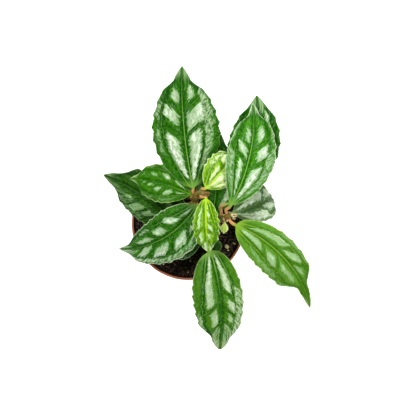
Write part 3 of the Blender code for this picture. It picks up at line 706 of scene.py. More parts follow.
def smooth_route(points, step):
    """Points about step apart on a smooth curve through the given ones (Catmull-Rom)."""
    known = np.array(points, float)
    ends = np.vstack([2 * known[0] - known[1], known, 2 * known[-1] - known[-2]])
    route = []
    for a, b, c, d in zip(ends, ends[1:], ends[2:], ends[3:]):
        pieces = max(1, round(float(np.linalg.norm(c - b)) / step))
        u = (np.arange(pieces) / pieces)[:, None]
        route.append(0.5 * (2 * b + (c - a) * u + (2 * a - 5 * b + 4 * c - d) * u**2
                            + (3 * b - a - 3 * c + d) * u**3))
    return np.vstack([*route, known[-1]])


def stem_points(stem, step):
    """The stem's axis points and the radius at each: tapering, and swollen at the joints."""
    axis = smooth_route(stem.route, step)
    z = axis[:, 2]
    share = (z - z[0]) / (z[-1] - z[0])
    radius = stem.foot_radius + (stem.tip_radius - stem.foot_radius) * share
    for joint in stem.joints:
        radius = radius * (1 + JOINT_SWELL * np.exp(-((z - joint) / JOINT_LENGTH) ** 2))
    return axis, radius


def axis_at(axis, z):
    """The point of the axis at height z."""
    return np.array([np.interp(z, axis[:, 2], axis[:, i]) for i in range(3)])


def unit(vectors):
    """The vectors at length 1."""
    return vectors / np.linalg.norm(vectors, axis=-1, keepdims=True)


def direction_at(axis, z):
    """The axis's direction at height z, from the points a millimetre above and below."""
    return unit(axis_at(axis, z + 1) - axis_at(axis, z - 1))


def stalk_radius(leaf):
    """The radius of a leaf's stalk: thinner on a narrow leaf."""
    return STALK_RADIUS * min(1, STALK_THINNEST + leaf.width / STALK_FULL_WIDTH)


def stalk_curve(leaf, u):
    """Points and directions at each share u of the stalk: a cubic from the stem's side, where it
    leaves outwards, to the blade's base, where it runs into the midrib."""
    stem = next(stem for stem in STEMS if stem.name == leaf.stem)
    axis, radius = stem_points(stem, STEM_STEP)
    root = axis_at(axis, leaf.stalk_z)
    stem_radius = float(np.interp(leaf.stalk_z, axis[:, 2], radius))
    upwards = direction_at(axis, leaf.stalk_z)
    base = np.array(leaf.base)
    outwards = base - root
    outwards = unit(outwards - upwards * outwards.dot(upwards))
    start = root + outwards * (stem_radius + STALK_GAP)
    reach = STALK_REACH * np.linalg.norm(base - start)
    first = start + outwards * reach
    last = base - heading_at(leaf, np.zeros(1))[0] * reach + np.cross(upwards, outwards) * leaf.bow
    u = u[..., None]
    points = ((1 - u) ** 3 * start + 3 * u * (1 - u) ** 2 * first
              + 3 * u**2 * (1 - u) * last + u**3 * base)
    directions = ((1 - u) ** 2 * (first - start) + 2 * u * (1 - u) * (last - first)
                  + u**2 * (base - last))
    return points, unit(directions)


def spine(leaf, along):
    """The centre line's points and directions, for along from -1 at the stem to 0 at the blade's
    base to 1 at the tip."""
    stations, points, directions = midrib(leaf)
    s = np.clip(along, 0, 1)
    blade_points = np.stack([np.interp(s, stations, points[:, i]) for i in range(3)], -1)
    blade_directions = np.stack([np.interp(s, stations, directions[:, i]) for i in range(3)], -1)
    stalk_points, stalk_directions = stalk_curve(leaf, np.clip(along + 1, 0, 1))
    on_stalk = (along < 0)[..., None]
    direction = np.where(on_stalk, stalk_directions, blade_directions)
    return np.where(on_stalk, stalk_points, blade_points), unit(direction)


def side_vein(s):
    """Where the two side veins run, as a share of the half width: wider apart up the blade."""
    return SIDE_VEIN_START + (SIDE_VEIN_END - SIDE_VEIN_START) * ease(*SIDE_VEINS_SPREAD, s)


def quilting(s, t):
    """How far the blade stands above its mean surface, as a share of its half width: sunk at the
    midrib, the side veins and the cross veins, and raised like a quilt between."""
    across = np.abs(t)
    vein = side_vein(s)
    inner = np.sin(np.pi * np.clip(across / vein, 0, 1))
    outer = np.sin(np.pi * np.clip((across - vein) / (1 - vein), 0, 1))
    cushion = np.where(across < vein, inner, OUTER_QUILT * outer)
    phase = CROSS_VEINS * (s - CROSS_VEIN_SLANT * across - CROSS_VEIN_START)
    cross = CROSS_VEIN_DEPTH * np.cos(2 * np.pi * phase) * ease(*CROSS_VEINS_GROW, s)
    return QUILT_HEIGHT * cushion * (1 + cross) * ease(*QUILT_GROWS, s)


def margin_wave(leaf, s, t):
    """Slow waves that grow towards the margin, half a wave apart on the two sides."""
    side = np.where(t > 0, 0.5, 0.0)
    wave = np.sin(2 * np.pi * (MARGIN_WAVES * s + leaf.wave_start + side))
    return MARGIN_WAVE_HEIGHT * wave * t * t * ease(*WAVES_GROW, s)


def patch_level(s, t):
    """The share of the length at which a slanted line across the leaf passes PATCH_MIDDLE."""
    return s - PATCH_SLANT * (np.abs(t) - PATCH_MIDDLE)


def markings(leaf, s, t, half, left, right):
    """How far inside a marking each point lies, in mm, below 0 outside. A marking is the room
    between two slanted lines across and two lines along, with its corners rounded. Those lines
    spread from the blade's base."""
    level = patch_level(s, t)
    spread = MARKS_AT_BASE + (1 - MARKS_AT_BASE) * ease(*MARKS_SPREAD, s)
    across = np.abs(t) / spread
    inside = np.full(s.shape, -FAR)
    for side, marks in ((-1, left), (1, right)):
        for start, end, inner, outer in marks:
            along_room = np.minimum(level - start, end - level) * leaf.length
            across_room = np.minimum(across - inner, outer - across) * half
            room = soft_min(along_room, across_room, CORNER)
            inside = np.where(t * side > 0, np.maximum(inside, room), inside)
    return inside


def cross_lines(leaf, s, t):
    """The distance in mm to the nearest cross vein. They run between one silver mark and the
    next, slanted as the marks are."""
    level = patch_level(s, t)
    nearest = np.full(s.shape, FAR)
    for side, marks in ((-1, leaf.left_silver), (1, leaf.right_silver)):
        for mark, following in zip(marks, marks[1:]):
            distance = np.abs(level - (mark[1] + following[0]) / 2) * leaf.length
            nearest = np.where(t * side > 0, np.minimum(nearest, distance), nearest)
    return nearest


def leaf_values(leaf, along, t):
    """What a leaf's shape and its material both need, for each point: its half width and its
    distances from the veins, the margin and the markings' edges, in mm."""
    s = np.clip(along, 0, 1)
    stalk = stalk_radius(leaf)
    narrowest = stalk + (TIP_HALF_WIDTH - stalk) * ease(*STALK_NARROWS, s)
    side = np.where(t > 0, leaf.right, leaf.left)
    half = np.maximum(side * half_width(leaf, s) * teeth(leaf, s), narrowest)
    across = np.abs(t)
    return {
        "half": half,
        "midrib": across * half,
        "side_vein": np.abs(across - side_vein(s)) * half,
        "cross_vein": cross_lines(leaf, s, t),
        "margin": (1 - across) * half,
        "silver": markings(leaf, s, t, half, leaf.left_silver, leaf.right_silver),
        "haze": markings(leaf, s, t, half, leaf.left_haze, leaf.right_haze),
    }


def leaf_relief(values, s):
    """The fine relief in mm: silver patches stand up, and the veins lie in grooves. It calms down
    towards the tip."""
    patches = PATCH_RISE * ease(-PATCH_SLOPE / 2, PATCH_SLOPE, values["silver"])
    haze = HAZE_RISE * ease(-PATCH_SLOPE / 2, PATCH_SLOPE, values["haze"])
    grooves = {name: np.exp(-(values[name] / GROOVE_WIDTH) ** 2)
               for name in ("midrib", "side_vein", "cross_vein")}
    groove = grooves["midrib"]
    groove = groove + SIDE_GROOVE * grooves["side_vein"] * ease(*SIDE_GROOVE_FADES, s)
    groove += CROSS_GROOVE * grooves["cross_vein"] * ease(0, CROSS_GROOVE_FADE, values["margin"])
    calm = 1 - (1 - RELIEF_AT_TIP) * ease(*RELIEF_CALMS, s)
    return (patches + haze - GROOVE_DEPTH * groove) * calm


def leaf_section(leaf, along, t, values):
    """For each point: its offset across, and the heights of the upper and lower faces, in mm. The
    stalk is round, and the blade is a thin quilted sheet with a keel under its midrib."""
    s = np.clip(along, 0, 1)
    on_blade = ease(0, BLADE_START, along)
    stalk = stalk_radius(leaf)
    across = t * values["half"]
    fold = FOLD_RISE * np.abs(t) - FOLD_FALL * t * t
    sheet = half_width(leaf, s) * (fold + quilting(s, t) + margin_wave(leaf, s, t))
    relief = leaf_relief(values, s) * ease(*RELIEF_GROWS, along)
    keel = KEEL_DEPTH * stalk * (1 - KEEL_TAPER * s)
    keel = keel * np.clip(1 - np.abs(across) / (KEEL_WIDTH * stalk), 0, 1)
    keel = keel + RIB_RISE * np.exp(-(values["side_vein"] / GROOVE_WIDTH) ** 2)
    thickness = BLADE_THICKNESS * (1 - EDGE_THINNING * np.abs(t) ** EDGE_POWER)
    round_half = stalk * np.sqrt(np.clip(1 - t * t, 0, 1))
    upper = (1 - on_blade) * round_half + on_blade * (sheet + thickness / 2 + relief)
    lower = -(1 - on_blade) * round_half + on_blade * (sheet - thickness / 2 + relief - keel)
    return across, upper, lower


def leaf_rings(leaf):
    """The grid of a leaf, as rings from the stem to the tip: each runs over the upper face from
    the left to the right margin and back under the lower one. For each point it gives how far
    along it is, how far across, and whether it is on the lower face. The columns come closer
    together towards the margins."""
    stalk, _ = stalk_curve(leaf, np.linspace(0, 1, STALK_PROBES))
    stalk_length = np.linalg.norm(np.diff(stalk, axis=0), axis=1).sum()
    stalk_rows = max(FEWEST_STALK_ROWS, round(stalk_length * STALK_ROWS_PER_MM))
    blade_rows = round(leaf.length * ROWS_PER_MM)
    along = np.concatenate([np.linspace(-1, 0, stalk_rows, endpoint=False),
                            np.linspace(0, 1, blade_rows + 1)])
    columns = max(FEWEST_COLUMNS, round(leaf.width * COLUMNS_PER_MM))
    v = np.linspace(-1, 1, columns + 1)
    face = 0.5 * v + 0.5 * np.sin(np.pi / 2 * v)
    loop = np.concatenate([face, face[::-1]])
    is_lower = np.repeat([False, True], columns + 1)
    along, t = np.meshgrid(along, loop, indexing="ij")
    return along, t, np.broadcast_to(is_lower, t.shape)


def make_leaf(leaf, finish):
    """One leaf: rings of a thin quilted sheet round the spine, with the values that the material
    reads and a map of the blade in centimetres, slanted as the cross veins are."""
    along, t, is_lower = leaf_rings(leaf)
    values = leaf_values(leaf, along, t)
    centre, direction = spine(leaf, along)
    sideways = unit(np.cross(direction, np.array([0, 0, 1.0])))
    up = np.cross(sideways, direction)
    tilt = math.radians(leaf.roll)
    side = sideways * math.cos(tilt) - up * math.sin(tilt)
    normal = up * math.cos(tilt) + sideways * math.sin(tilt)
    across, upper, lower = leaf_section(leaf, along, t, values)
    height = np.where(is_lower, lower, upper)
    rings = centre + side * across[..., None] + normal * height[..., None]
    piece = new_piece(leaf.name + "_leaf", *closed_tubes(rings[None]), finish)
    level = patch_level(np.clip(along, 0, 1), t) * leaf.length
    add_map(piece, LEAF_MAP, with_ends(np.stack([across, level], -1)[None] * CM_PER_MM))
    values.update(share=along, under=is_lower.astype(float))
    for name in LEAF_VALUES:
        add_value(piece, name, with_ends(values[name][None]))
    place_piece(piece, "young_leaf" if leaf.tone in YOUNG_TONES else "leaf", leaf.name)


class Field:
    """A number or colour that varies over a surface: one output of a node. Arithmetic on it adds
    the node that does the sum."""

    def __init__(self, nodes, socket):
        self.nodes = nodes
        self.socket = socket

    def __add__(self, other):
        return self.nodes.math("ADD", self, other)

    def __sub__(self, other):
        return self.nodes.math("SUBTRACT", self, other)

    def __mul__(self, other):
        return self.nodes.math("MULTIPLY", self, other)

    def __truediv__(self, other):
        return self.nodes.math("DIVIDE", self, other)


class Nodes:
    """A node tree being filled. A node's inputs are given by name or number, as fields, which are
    joined, or as plain values, which are set."""

    def __init__(self, tree):
        self.tree = tree

    def feed(self, node, inputs):
        """Joins or sets the inputs of a node."""
        for name, value in inputs.items():
            if isinstance(value, Field):
                self.tree.links.new(value.socket, node.inputs[name])
            else:
                node.inputs[name].default_value = value

    def add(self, kind, inputs=None, **settings):
        """A new node of the kind, set up and fed."""
        node = self.tree.nodes.new("ShaderNode" + kind)
        for name, value in settings.items():
            setattr(node, name, value)
        self.feed(node, inputs or {})
        return node

    def field(self, node, output=0):
        """One output of a node, by name or number."""
        return Field(self, node.outputs[output])

    def shade(self, inputs):
        """Feeds the material's Principled shader."""
        self.feed(self.tree.nodes["Principled BSDF"], inputs)

    def bump(self, height, depth, strength):
        """Gives the material's shader the normals of a relief, its depth in metres."""
        bump = self.add("Bump", {"Height": height, "Distance": depth, "Strength": strength})
        self.shade({"Normal": self.field(bump)})

    def value(self, name):
        """A number that the piece's points carry."""
        return self.field(self.add("Attribute", attribute_name=name), "Fac")

    def place(self):
        """Where on the object each point is, in metres."""
        return self.field(self.add("TexCoord"), "Object")

    def stretched(self, place, amounts):
        """The places, with each of their three numbers multiplied by its amount."""
        return self.field(self.add("VectorMath", {0: place, 1: amounts}, operation="MULTIPLY"))

    def math(self, operation, a, b):
        """What the operation gives for two numbers."""
        return self.field(self.add("Math", {0: a, 1: b}, operation=operation))

    def ramp(self, value, low, high, start=0.0, end=1.0):
        """A smooth step from start to end as the value goes from low to high."""
        limits = {"From Min": low, "From Max": high, "To Min": start, "To Max": end}
        step = self.add("MapRange", {"Value": value, **limits}, interpolation_type="SMOOTHSTEP")
        return self.field(step, "Result")

    def mix(self, share, a, b):
        """Colour a with the share of colour b mixed in."""
        mixed = self.add("Mix", {"Factor": share, "A": a, "B": b}, data_type="RGBA")
        return self.field(mixed, 2)

    def noise(self, place, scale, detail, roughness):
        """Smooth noise about 0.5, with scale spots in a unit of the place."""
        noise = self.add("TexNoise", {"Vector": place, "Scale": scale, "Detail": detail,
                                      "Roughness": roughness})
        return self.field(noise, "Fac")

    def spots(self, place, spots, start=0.0, end=1.0):
        """Spots of noise, as a strength from start between them to end within."""
        scale, detail, roughness, low, high = spots
        return self.ramp(self.noise(place, scale, detail, roughness), low, high, start, end)


def rounded(profile, radius):
    """The profile with each inner corner replaced by an arc-like curve (a quadratic Bezier) that
    starts and ends radius away from it, or less where the side is short."""
    points = np.array(profile, float)
    corner = points[1:-1]
    back = points[:-2] - corner
    on = points[2:] - corner
    back *= np.minimum(radius / np.linalg.norm(back, axis=1), ROUNDED_SHARE)[:, None]
    on *= np.minimum(radius / np.linalg.norm(on, axis=1), ROUNDED_SHARE)[:, None]
    u = np.linspace(0, 1, CORNER_STEPS + 1)[None, :, None]
    arcs = corner[:, None] + back[:, None] * (1 - u) ** 2 + on[:, None] * u**2
    return np.vstack([points[:1], arcs.reshape(-1, 2), points[-1:]])


def turned_rings(profile, sides):
    """Rings about Z through the profile's (radius, height) points."""
    angle = np.arange(sides) * 2 * np.pi / sides
    radius, height = profile[:, 0, None], profile[:, 1, None]
    x, y, z = np.broadcast_arrays(radius * np.cos(angle), radius * np.sin(angle), height)
    return np.stack([x, y, z], -1)


def pot_outer_radius(z):
    """The radius of the tapered wall's outside at height z."""
    top = POT_RIM_RADIUS - RIM_BAND_STEP
    return POT_FOOT_RADIUS + (top - POT_FOOT_RADIUS) * z / POT_HEIGHT


def pot_profile():
    """The pot's section: floor, inside, lip, rim band, outside, foot ring and centre pad."""
    inside_top = POT_RIM_RADIUS - RIM_LIP
    floor = FOOT_RAISE + POT_FLOOR
    band_low = POT_HEIGHT - RIM_BAND_HEIGHT
    wall_at_band = pot_outer_radius(band_low)
    foot_inner = POT_FOOT_RADIUS - FOOT_RING_WIDTH
    return [
        (CENTRE_PAD_RADIUS / 2, floor),
        (pot_outer_radius(floor) - POT_WALL, floor),
        (wall_at_band - POT_WALL, band_low),
        (inside_top - RIM_ROUNDING, POT_HEIGHT - LIP_HEIGHT),
        (inside_top, POT_HEIGHT),
        (POT_RIM_RADIUS, POT_HEIGHT),
        (POT_RIM_RADIUS - RIM_ROUNDING, band_low),
        (wall_at_band, band_low - RIM_ROUNDING),
        (POT_FOOT_RADIUS, 0),
        (foot_inner, 0),
        (foot_inner - FOOT_ROUNDING, FOOT_RAISE),
        (CENTRE_PAD_RADIUS + FOOT_ROUNDING, FOOT_RAISE),
        (CENTRE_PAD_RADIUS, 0),
        (CENTRE_PAD_RADIUS / 2, 0),
    ]


def cut_drain_holes(pot):
    """Takes a ring of round holes out of the pot's floor."""
    angle = 2 * np.pi * (np.arange(DRAIN_HOLES) + 0.5) / DRAIN_HOLES
    middle = DRAIN_CIRCLE_RADIUS * np.stack([np.cos(angle), np.sin(angle)], -1)
    ends = np.array([(DRAIN_HOLE_RADIUS, z) for z in DRILL_ENDS])
    drills = np.repeat(turned_rings(ends, DRILL_SIDES)[None], DRAIN_HOLES, axis=0)
    drills[..., :2] += middle[:, None, None]
    cutter = new_piece("drain_drills", *closed_tubes(drills), pot.data.materials[0])
    holes = pot.modifiers.new("Drain holes", "BOOLEAN")
    holes.operation = "DIFFERENCE"
    holes.object = cutter
    holes.solver = "EXACT"
    bpy.context.view_layer.update()
    graph = bpy.context.evaluated_depsgraph_get()
    drilled = bpy.data.meshes.new_from_object(pot.evaluated_get(graph))
    pot.modifiers.clear()
    pot.data = drilled
    bpy.data.objects.remove(cutter, do_unlink=True)


def soil_waves(x, y):
    """How far the soil stands above its level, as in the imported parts: lumps of two sizes as
    products of crossed waves, the small ones aslant."""
    lumps = np.sin(0.31 * x + 1.1) * np.cos(0.27 * y - 0.4)
    crumbs = np.sin(0.93 * x + 0.61 * y) * np.sin(0.83 * y - 0.57 * x + 2.0)
    return SOIL_RELIEF * (0.6 * lumps + 0.5 * crumbs)


def soil_edge():
    """The soil's radius at its level, which is where the pot's lip starts."""
    return POT_RIM_RADIUS - RIM_LIP - RIM_ROUNDING - GAP


def soil_height(x, y, lumps):
    """The soil's height: the waves with the highest dome of all the lumps on them. lumps holds
    each one's x, y, radius and height. The waves die away at the wall, and the lumps nearly do."""
    edge = soil_edge()
    fade = 1 - ease(edge - SOIL_LEVEL_EDGE, edge, np.hypot(x, y))
    highest = np.zeros(x.shape)
    for lump_x, lump_y, radius, height in lumps:
        dome = 1 - ((x - lump_x) ** 2 + (y - lump_y) ** 2) / radius**2
        highest = np.maximum(highest, height * np.sqrt(np.clip(dome, 0, 1)))
    lump_share = LUMPS_AT_WALL + (1 - LUMPS_AT_WALL) * fade
    return SOIL_LEVEL + fade * soil_waves(x, y) + lump_share * highest


def between(ends, share):
    """The number at the share of the way between two ends."""
    return ends[0] + (ends[1] - ends[0]) * share


def scatter(random, count, reach):
    """Places in x and y, spread evenly over a disc of radius reach."""
    radius = reach * np.sqrt(random.random(count))
    angle = random.random(count) * 2 * np.pi
    return radius * np.cos(angle), radius * np.sin(angle)


def soil_lumps(random, count):
    """Lumps of many sizes all over the soil, most of them small: each one's x, y, radius and
    height."""
    x, y = scatter(random, count, soil_edge())
    size = random.random(count) ** LUMP_SIZE_POWER
    return np.stack([x, y, between(LUMP_RADIUS, size), between(LUMP_HEIGHT, size)], -1)


def blobs(random, centres, radii, flatness, rings, sides):
    """Rings of rough round bits: spheres stretched at random along each axis, dented, turned any
    way and flattened."""
    count = len(radii)
    polar = np.linspace(BLOB_POLE, np.pi - BLOB_POLE, rings)[:, None]
    angle = (np.arange(sides) * 2 * np.pi / sides)[None]
    ball = np.stack(np.broadcast_arrays(np.sin(polar) * np.cos(angle),
                                        np.sin(polar) * np.sin(angle), np.cos(polar)), -1)
    stretch = between(BLOB_STRETCH, random.random((count, 1, 1, 3)))
    dents = between(BLOB_DENT, random.random((count, rings, sides, 1)))
    shapes = ball[None] * stretch * dents * radii[:, None, None, None]
    turns, _ = np.linalg.qr(random.normal(size=(count, 3, 3)))
    turns *= np.sign(np.linalg.det(turns))[:, None, None]
    shapes = np.einsum("nij,nrsj->nrsi", turns, shapes)
    shapes[..., 2] *= flatness
    return shapes + centres[:, None, None]


def scales(bases, axes, outs, length, width, lean, curl):
    """Rings of pointed, boat-shaped scales, from an array of each one's value. Each starts at its
    base, leans from its axis outwards by lean degrees and curls back in by curl degrees. Its width
    follows a sine arch, and its section is a thin crescent."""
    s = np.linspace(0, 1, SCALE_ROWS)
    v = np.arange(SCALE_SIDES) * 2 * np.pi / SCALE_SIDES
    length, width, lean, curl = np.broadcast_arrays(*(
        np.asarray(value, float).reshape(-1, 1) for value in (length, width, lean, curl)))
    skewed = (SCALE_FOOT + (1 - SCALE_FOOT) * s) ** SCALE_SKEW
    half = width / 2 * np.maximum(np.sin(np.pi * skewed) ** SCALE_FULLNESS, SCALE_TIP)
    slope = np.radians(lean - curl * s)
    up = np.cumsum(np.cos(slope), axis=1) * length / SCALE_ROWS
    out = np.cumsum(np.sin(slope), axis=1) * length / SCALE_ROWS
    across = half[..., None] * np.cos(v)
    bulge = SCALE_BULGE * half[..., None] * (1 - np.cos(v) ** 2) + SCALE_THICKNESS * np.sin(v)
    sides = unit(np.cross(axes, outs))
    return (bases[:, None, None] + axes[:, None, None] * up[..., None, None]
            + outs[:, None, None] * (out[..., None] + bulge)[..., None]
            + sides[:, None, None] * across[..., None])


def new_group(name, colours, numbers, results):
    """An empty shader node group that takes the colours and numbers, and gives a colour and the
    numbers in results: its filler, its inputs as fields, and its output node."""
    group = bpy.data.node_groups.new(name, "ShaderNodeTree")
    for labels, way, kind in ((colours, "INPUT", "Color"), (numbers, "INPUT", "Float"),
                              (("Colour",), "OUTPUT", "Color"), (results, "OUTPUT", "Float")):
        for label in labels:
            group.interface.new_socket(name=label, in_out=way, socket_type="NodeSocket" + kind)
    nodes = Nodes(group)
    start = group.nodes.new("NodeGroupInput")
    given = {label: nodes.field(start, label) for label in (*colours, *numbers)}
    return nodes, given, group.nodes.new("NodeGroupOutput")


def opaque(colour):
    """A colour property's red, green and blue with full cover."""
    return (*colour, 1.0)


def grain_group():
    """Fine uneven colour and surface, for any piece: the colour is mottled between two others
    by noise of two sizes, and the height is finer noise."""
    if GRAIN_GROUP in bpy.data.node_groups:
        return bpy.data.node_groups[GRAIN_GROUP]
    nodes, given, end = new_group(GRAIN_GROUP, ("Colour", "Light", "Dark"), ("Size", "Amount"),
                                  ("Mask", "Height"))
    place = nodes.place()
    broad = nodes.noise(place, given["Size"] * BROAD_SIZE, 4, 0.55)
    fine = nodes.noise(place, given["Size"], 5, 0.65)
    light = nodes.ramp(broad, 0.45, 0.72) * given["Amount"]
    dark = nodes.ramp(fine, 0.52, 0.7) * given["Amount"]
    colour = nodes.mix(light, given["Colour"], given["Light"])
    colour = nodes.mix(dark, colour, given["Dark"])
    height = nodes.noise(place, given["Size"] * RELIEF_SIZE, 4, 0.6)
    nodes.feed(end, {"Colour": colour, "Mask": fine, "Height": height})
    return nodes.tree


# The parts of the leaf colouring, laid over each other in turn. They share the group's filler, its
# inputs in given, and in at the values at each point, where distances are in mm.
def leaf_ground(nodes, given, at):
    """The green ground: deeper beside the veins and in soft mottles, with small paler flecks."""
    deep = nodes.ramp(at["near_vein"] + at["fine"] * 2.0, *DEEP_BY_VEIN)
    furrow = nodes.ramp(at["cross_vein"] + at["ragged"] * 2.0, *DEEP_BY_CROSS_VEIN)
    broad = nodes.spots(at["place"], BROAD, 0.0, 0.25)
    mottles = nodes.spots(at["place"], MOTTLES, -0.3, 0.65)
    deep = nodes.math("MAXIMUM", deep, furrow) + broad + mottles * given["Mottle"]
    deep = nodes.math("MAXIMUM", nodes.math("MINIMUM", deep, 1.0), 0.0)
    colour = nodes.mix(deep, given["Green"], given["Deep"])
    pale = nodes.mix(FLECK_SILVER, given["Green"], given["Silver"])
    return nodes.mix(nodes.spots(at["place"], FLECKS) * FLECK_STRENGTH, colour, pale)


def with_haze(nodes, given, at, colour):
    """The colour under the sheen beside the margin: blotches of silver, duller away from the side
    vein, with small bright sparks."""
    hazy = nodes.ramp(at["haze"] + at["rough_edge"] * 0.6, *HAZE_EDGE) * given["Haze"]
    hazy = hazy * nodes.spots(at["place"], BLOTCHES, 0.08, 1.0)
    silveriness = nodes.ramp(at["side_vein"], *SHEEN_BY_VEIN)
    colour = nodes.mix(hazy, colour, nodes.mix(silveriness, given["Green"], given["Silver"]))
    sparks = nodes.spots(at["drawn"], SPARKS) * hazy * SPARK_STRENGTH
    return nodes.mix(sparks, colour, given["Silver"])


def silver_fill(nodes, given, at, depth):
    """What fills a silver patch, by the depth inside it in mm: dull at the rim and bright within,
    where white glints, which are painted highlights, gather, with green specks all over. It is
    brightest by the side vein."""
    bright = nodes.spots(at["place"], BRIGHT) * nodes.ramp(at["side_vein"], *BRIGHT_BY_VEIN)
    bright = bright * nodes.ramp(depth + at["fine"] * 3.0, *BRIGHT_WITHIN)
    dull = nodes.mix(0.5, given["Silver"], given["Green"])
    fill = nodes.mix(bright, dull, given["Silver"])
    # The glints are painted highlights: near-white strokes mixed into the colour where light would
    # catch the patch
    glints = nodes.spots(at["streaked"], GLINTS) * nodes.ramp(at["side_vein"], *GLINTS_BY_VEIN)
    glints = glints * nodes.ramp(depth + at["fine"] * 4.0, *GLINTS_WITHIN) * given["Shine"]
    fill = nodes.mix(glints, fill, given["Glint"])
    specks = nodes.spots(at["place"], SPECKLES) * nodes.ramp(depth, *SPECKS_WITHIN)
    return nodes.mix(specks, fill, given["Green"])


def with_veins(nodes, given, at, colour):
    """The colour under light lines on the veins, which narrow and fade towards the tip."""
    narrowing = at["share"] * LINES_NARROW
    line = nodes.ramp(at["midrib"] / given["Midrib"] + narrowing, *MIDRIB_LINE)
    line = line * nodes.ramp(at["share"], *MIDRIB_FADES)
    side_line = nodes.ramp(at["side_vein"] + narrowing, *SIDE_VEIN_LINE)
    side_line = side_line * nodes.ramp(at["share"], *SIDE_VEIN_FADES)
    cross_line = nodes.ramp(at["cross_vein"], *CROSS_VEIN_LINE)
    line = nodes.math("MAXIMUM", line, nodes.math("MAXIMUM", side_line, cross_line))
    return nodes.mix(line, colour, given["Vein"])


def with_rim(nodes, given, at, colour):
    """The colour with the edge's own round the margin, a pale tip, and the veins' at the base."""
    rim = nodes.ramp(at["margin"] + at["ragged"] * 3.0 + at["fine"] * 0.9, *RIM_LINE)
    colour = nodes.mix(rim, colour, given["Edge"])
    tip = nodes.ramp(at["share"] + at["ragged"] * 0.2, *TIP_COLOURED)
    tip = tip * nodes.ramp(at["midrib"], *TIP_BY_MIDRIB)
    colour = nodes.mix(tip, colour, nodes.mix(0.5, given["Edge"], given["Silver"]))
    return nodes.mix(nodes.ramp(at["share"], *BASE_COLOURED), colour, given["Vein"])


def with_lower_side(nodes, given, at, colour):
    """The colour on the upper side, the pale underside with its light veins on the lower one, and
    the stalk's colour before the blade."""
    veins = nodes.ramp(at["near_vein"], *VEINS_BELOW)
    below = nodes.mix(veins, given["Underside"], given["Edge"])
    below = nodes.mix(at["fine"] * 1.2, below, given["Green"])
    colour = nodes.mix(at["under"], colour, below)
    return nodes.mix(nodes.ramp(at["share"], *STALK_COLOURED), colour, given["Stalk"])


def leaf_group():
    """The colours of a leaf, from the distances that its points carry and from its blade map.
    Ragged noise, drawn out along the cross veins, breaks the markings' edges, and more so away
    from the side vein."""
    if LEAF_GROUP in bpy.data.node_groups:
        return bpy.data.node_groups[LEAF_GROUP]
    nodes, given, end = new_group(LEAF_GROUP, (*TONE_COLOURS, *SHARED_COLOURS),
                                  (*TONE_STRENGTHS, "Midrib"), ("Roughness", "Coat", "Height"))
    at = {name: nodes.value(name) for name in LEAF_VALUES}
    at["place"] = nodes.field(nodes.add("UVMap", uv_map=LEAF_MAP), "UV")
    at["drawn"] = nodes.stretched(at["place"], DRAWN)
    at["streaked"] = nodes.stretched(at["place"], STREAKED)
    at["near_vein"] = nodes.math("MINIMUM", at["midrib"], at["side_vein"])
    at["ragged"] = nodes.noise(at["drawn"], *RAGGED_NOISE) - 0.5
    at["fine"] = nodes.noise(at["place"], *FINE_NOISE) - 0.5
    fray = nodes.ramp(at["side_vein"], *RAGGED_BY_VEIN)
    at["rough_edge"] = at["ragged"] * given["Ragged"] * fray
    depth = at["silver"] + at["rough_edge"] + at["fine"] * 3.0
    patch = nodes.ramp(depth, *PATCH_EDGE)
    colour = with_haze(nodes, given, at, leaf_ground(nodes, given, at))
    colour = nodes.mix(patch, colour, silver_fill(nodes, given, at, depth))
    colour = with_veins(nodes, given, at, colour)
    colour = with_rim(nodes, given, at, colour)
    colour = with_lower_side(nodes, given, at, colour)
    roughness = patch * PATCH_ROUGHNESS + at["under"] * UNDER_ROUGHNESS
    roughness = roughness + at["fine"] * UNEVEN_ROUGHNESS + LEAF_ROUGHNESS
    coat = patch * PATCH_COAT * nodes.ramp(at["under"], 0, 1, 1, 0)
    height = nodes.noise(at["place"], *SKIN_NOISE) + at["ragged"] * SKIN_RAGGEDNESS
    nodes.feed(end, {"Colour": colour, "Roughness": roughness, "Coat": coat, "Height": height})
    return nodes.tree


def new_material(name):
    """A material and the filler of its node tree."""
    material = bpy.data.materials.new(name)
    material.use_nodes = True
    return material, Nodes(material.node_tree)


def leaf_material(tone, settings):
    """The glossy skin of a leaf in one tone."""
    material, nodes = new_material("Leaf " + tone)
    own = getattr(settings, tone)
    inputs = {label: opaque(getattr(own, label.lower())) for label in TONE_COLOURS}
    inputs.update({label: opaque(getattr(settings, label.lower())) for label in SHARED_COLOURS})
    inputs.update({label: getattr(own, label.lower()) for label in TONE_STRENGTHS})
    inputs["Midrib"] = YOUNG_MIDRIB if tone in YOUNG_TONES else 1.0
    group = nodes.add("Group", inputs, node_tree=leaf_group())
    nodes.shade({"Base Color": nodes.field(group, "Colour"),
                 "Roughness": nodes.field(group, "Roughness"),
                 "Specular IOR Level": LEAF_SPECULAR,
                 "Coat Weight": nodes.field(group, "Coat"),
                 "Coat Roughness": LEAF_COAT_ROUGHNESS})
    nodes.bump(nodes.field(group, "Height"), *LEAF_BUMP)
    return material


def grained_material(name, colour, texture):
    """A material of one colour, made uneven by the grain group. It is returned with the filler of
    its tree, and the group's colour and mask."""
    material, nodes = new_material(name)
    group = nodes.add("Group", {"Colour": opaque(colour), "Light": opaque(texture.light),
                                "Dark": opaque(texture.dark), "Size": texture.size,
                                "Amount": texture.amount}, node_tree=grain_group())
    grained, mask, height = (nodes.field(group, label) for label in ("Colour", "Mask", "Height"))
    uneven = nodes.ramp(mask, *MASK_LEVELS, texture.roughness - ROUGHNESS_SPREAD,
                        texture.roughness + ROUGHNESS_SPREAD)
    nodes.shade({"Base Color": grained, "Roughness": uneven})
    nodes.bump(height, texture.bump, GRAIN_BUMP_STRENGTH)
    return material, nodes, grained, mask


def colour_property(name, description, default):
    """A linear colour that the user can change."""
    return FloatVectorProperty(name=name, description=description, default=default, size=3,
                               subtype="COLOR", min=0, max=1)


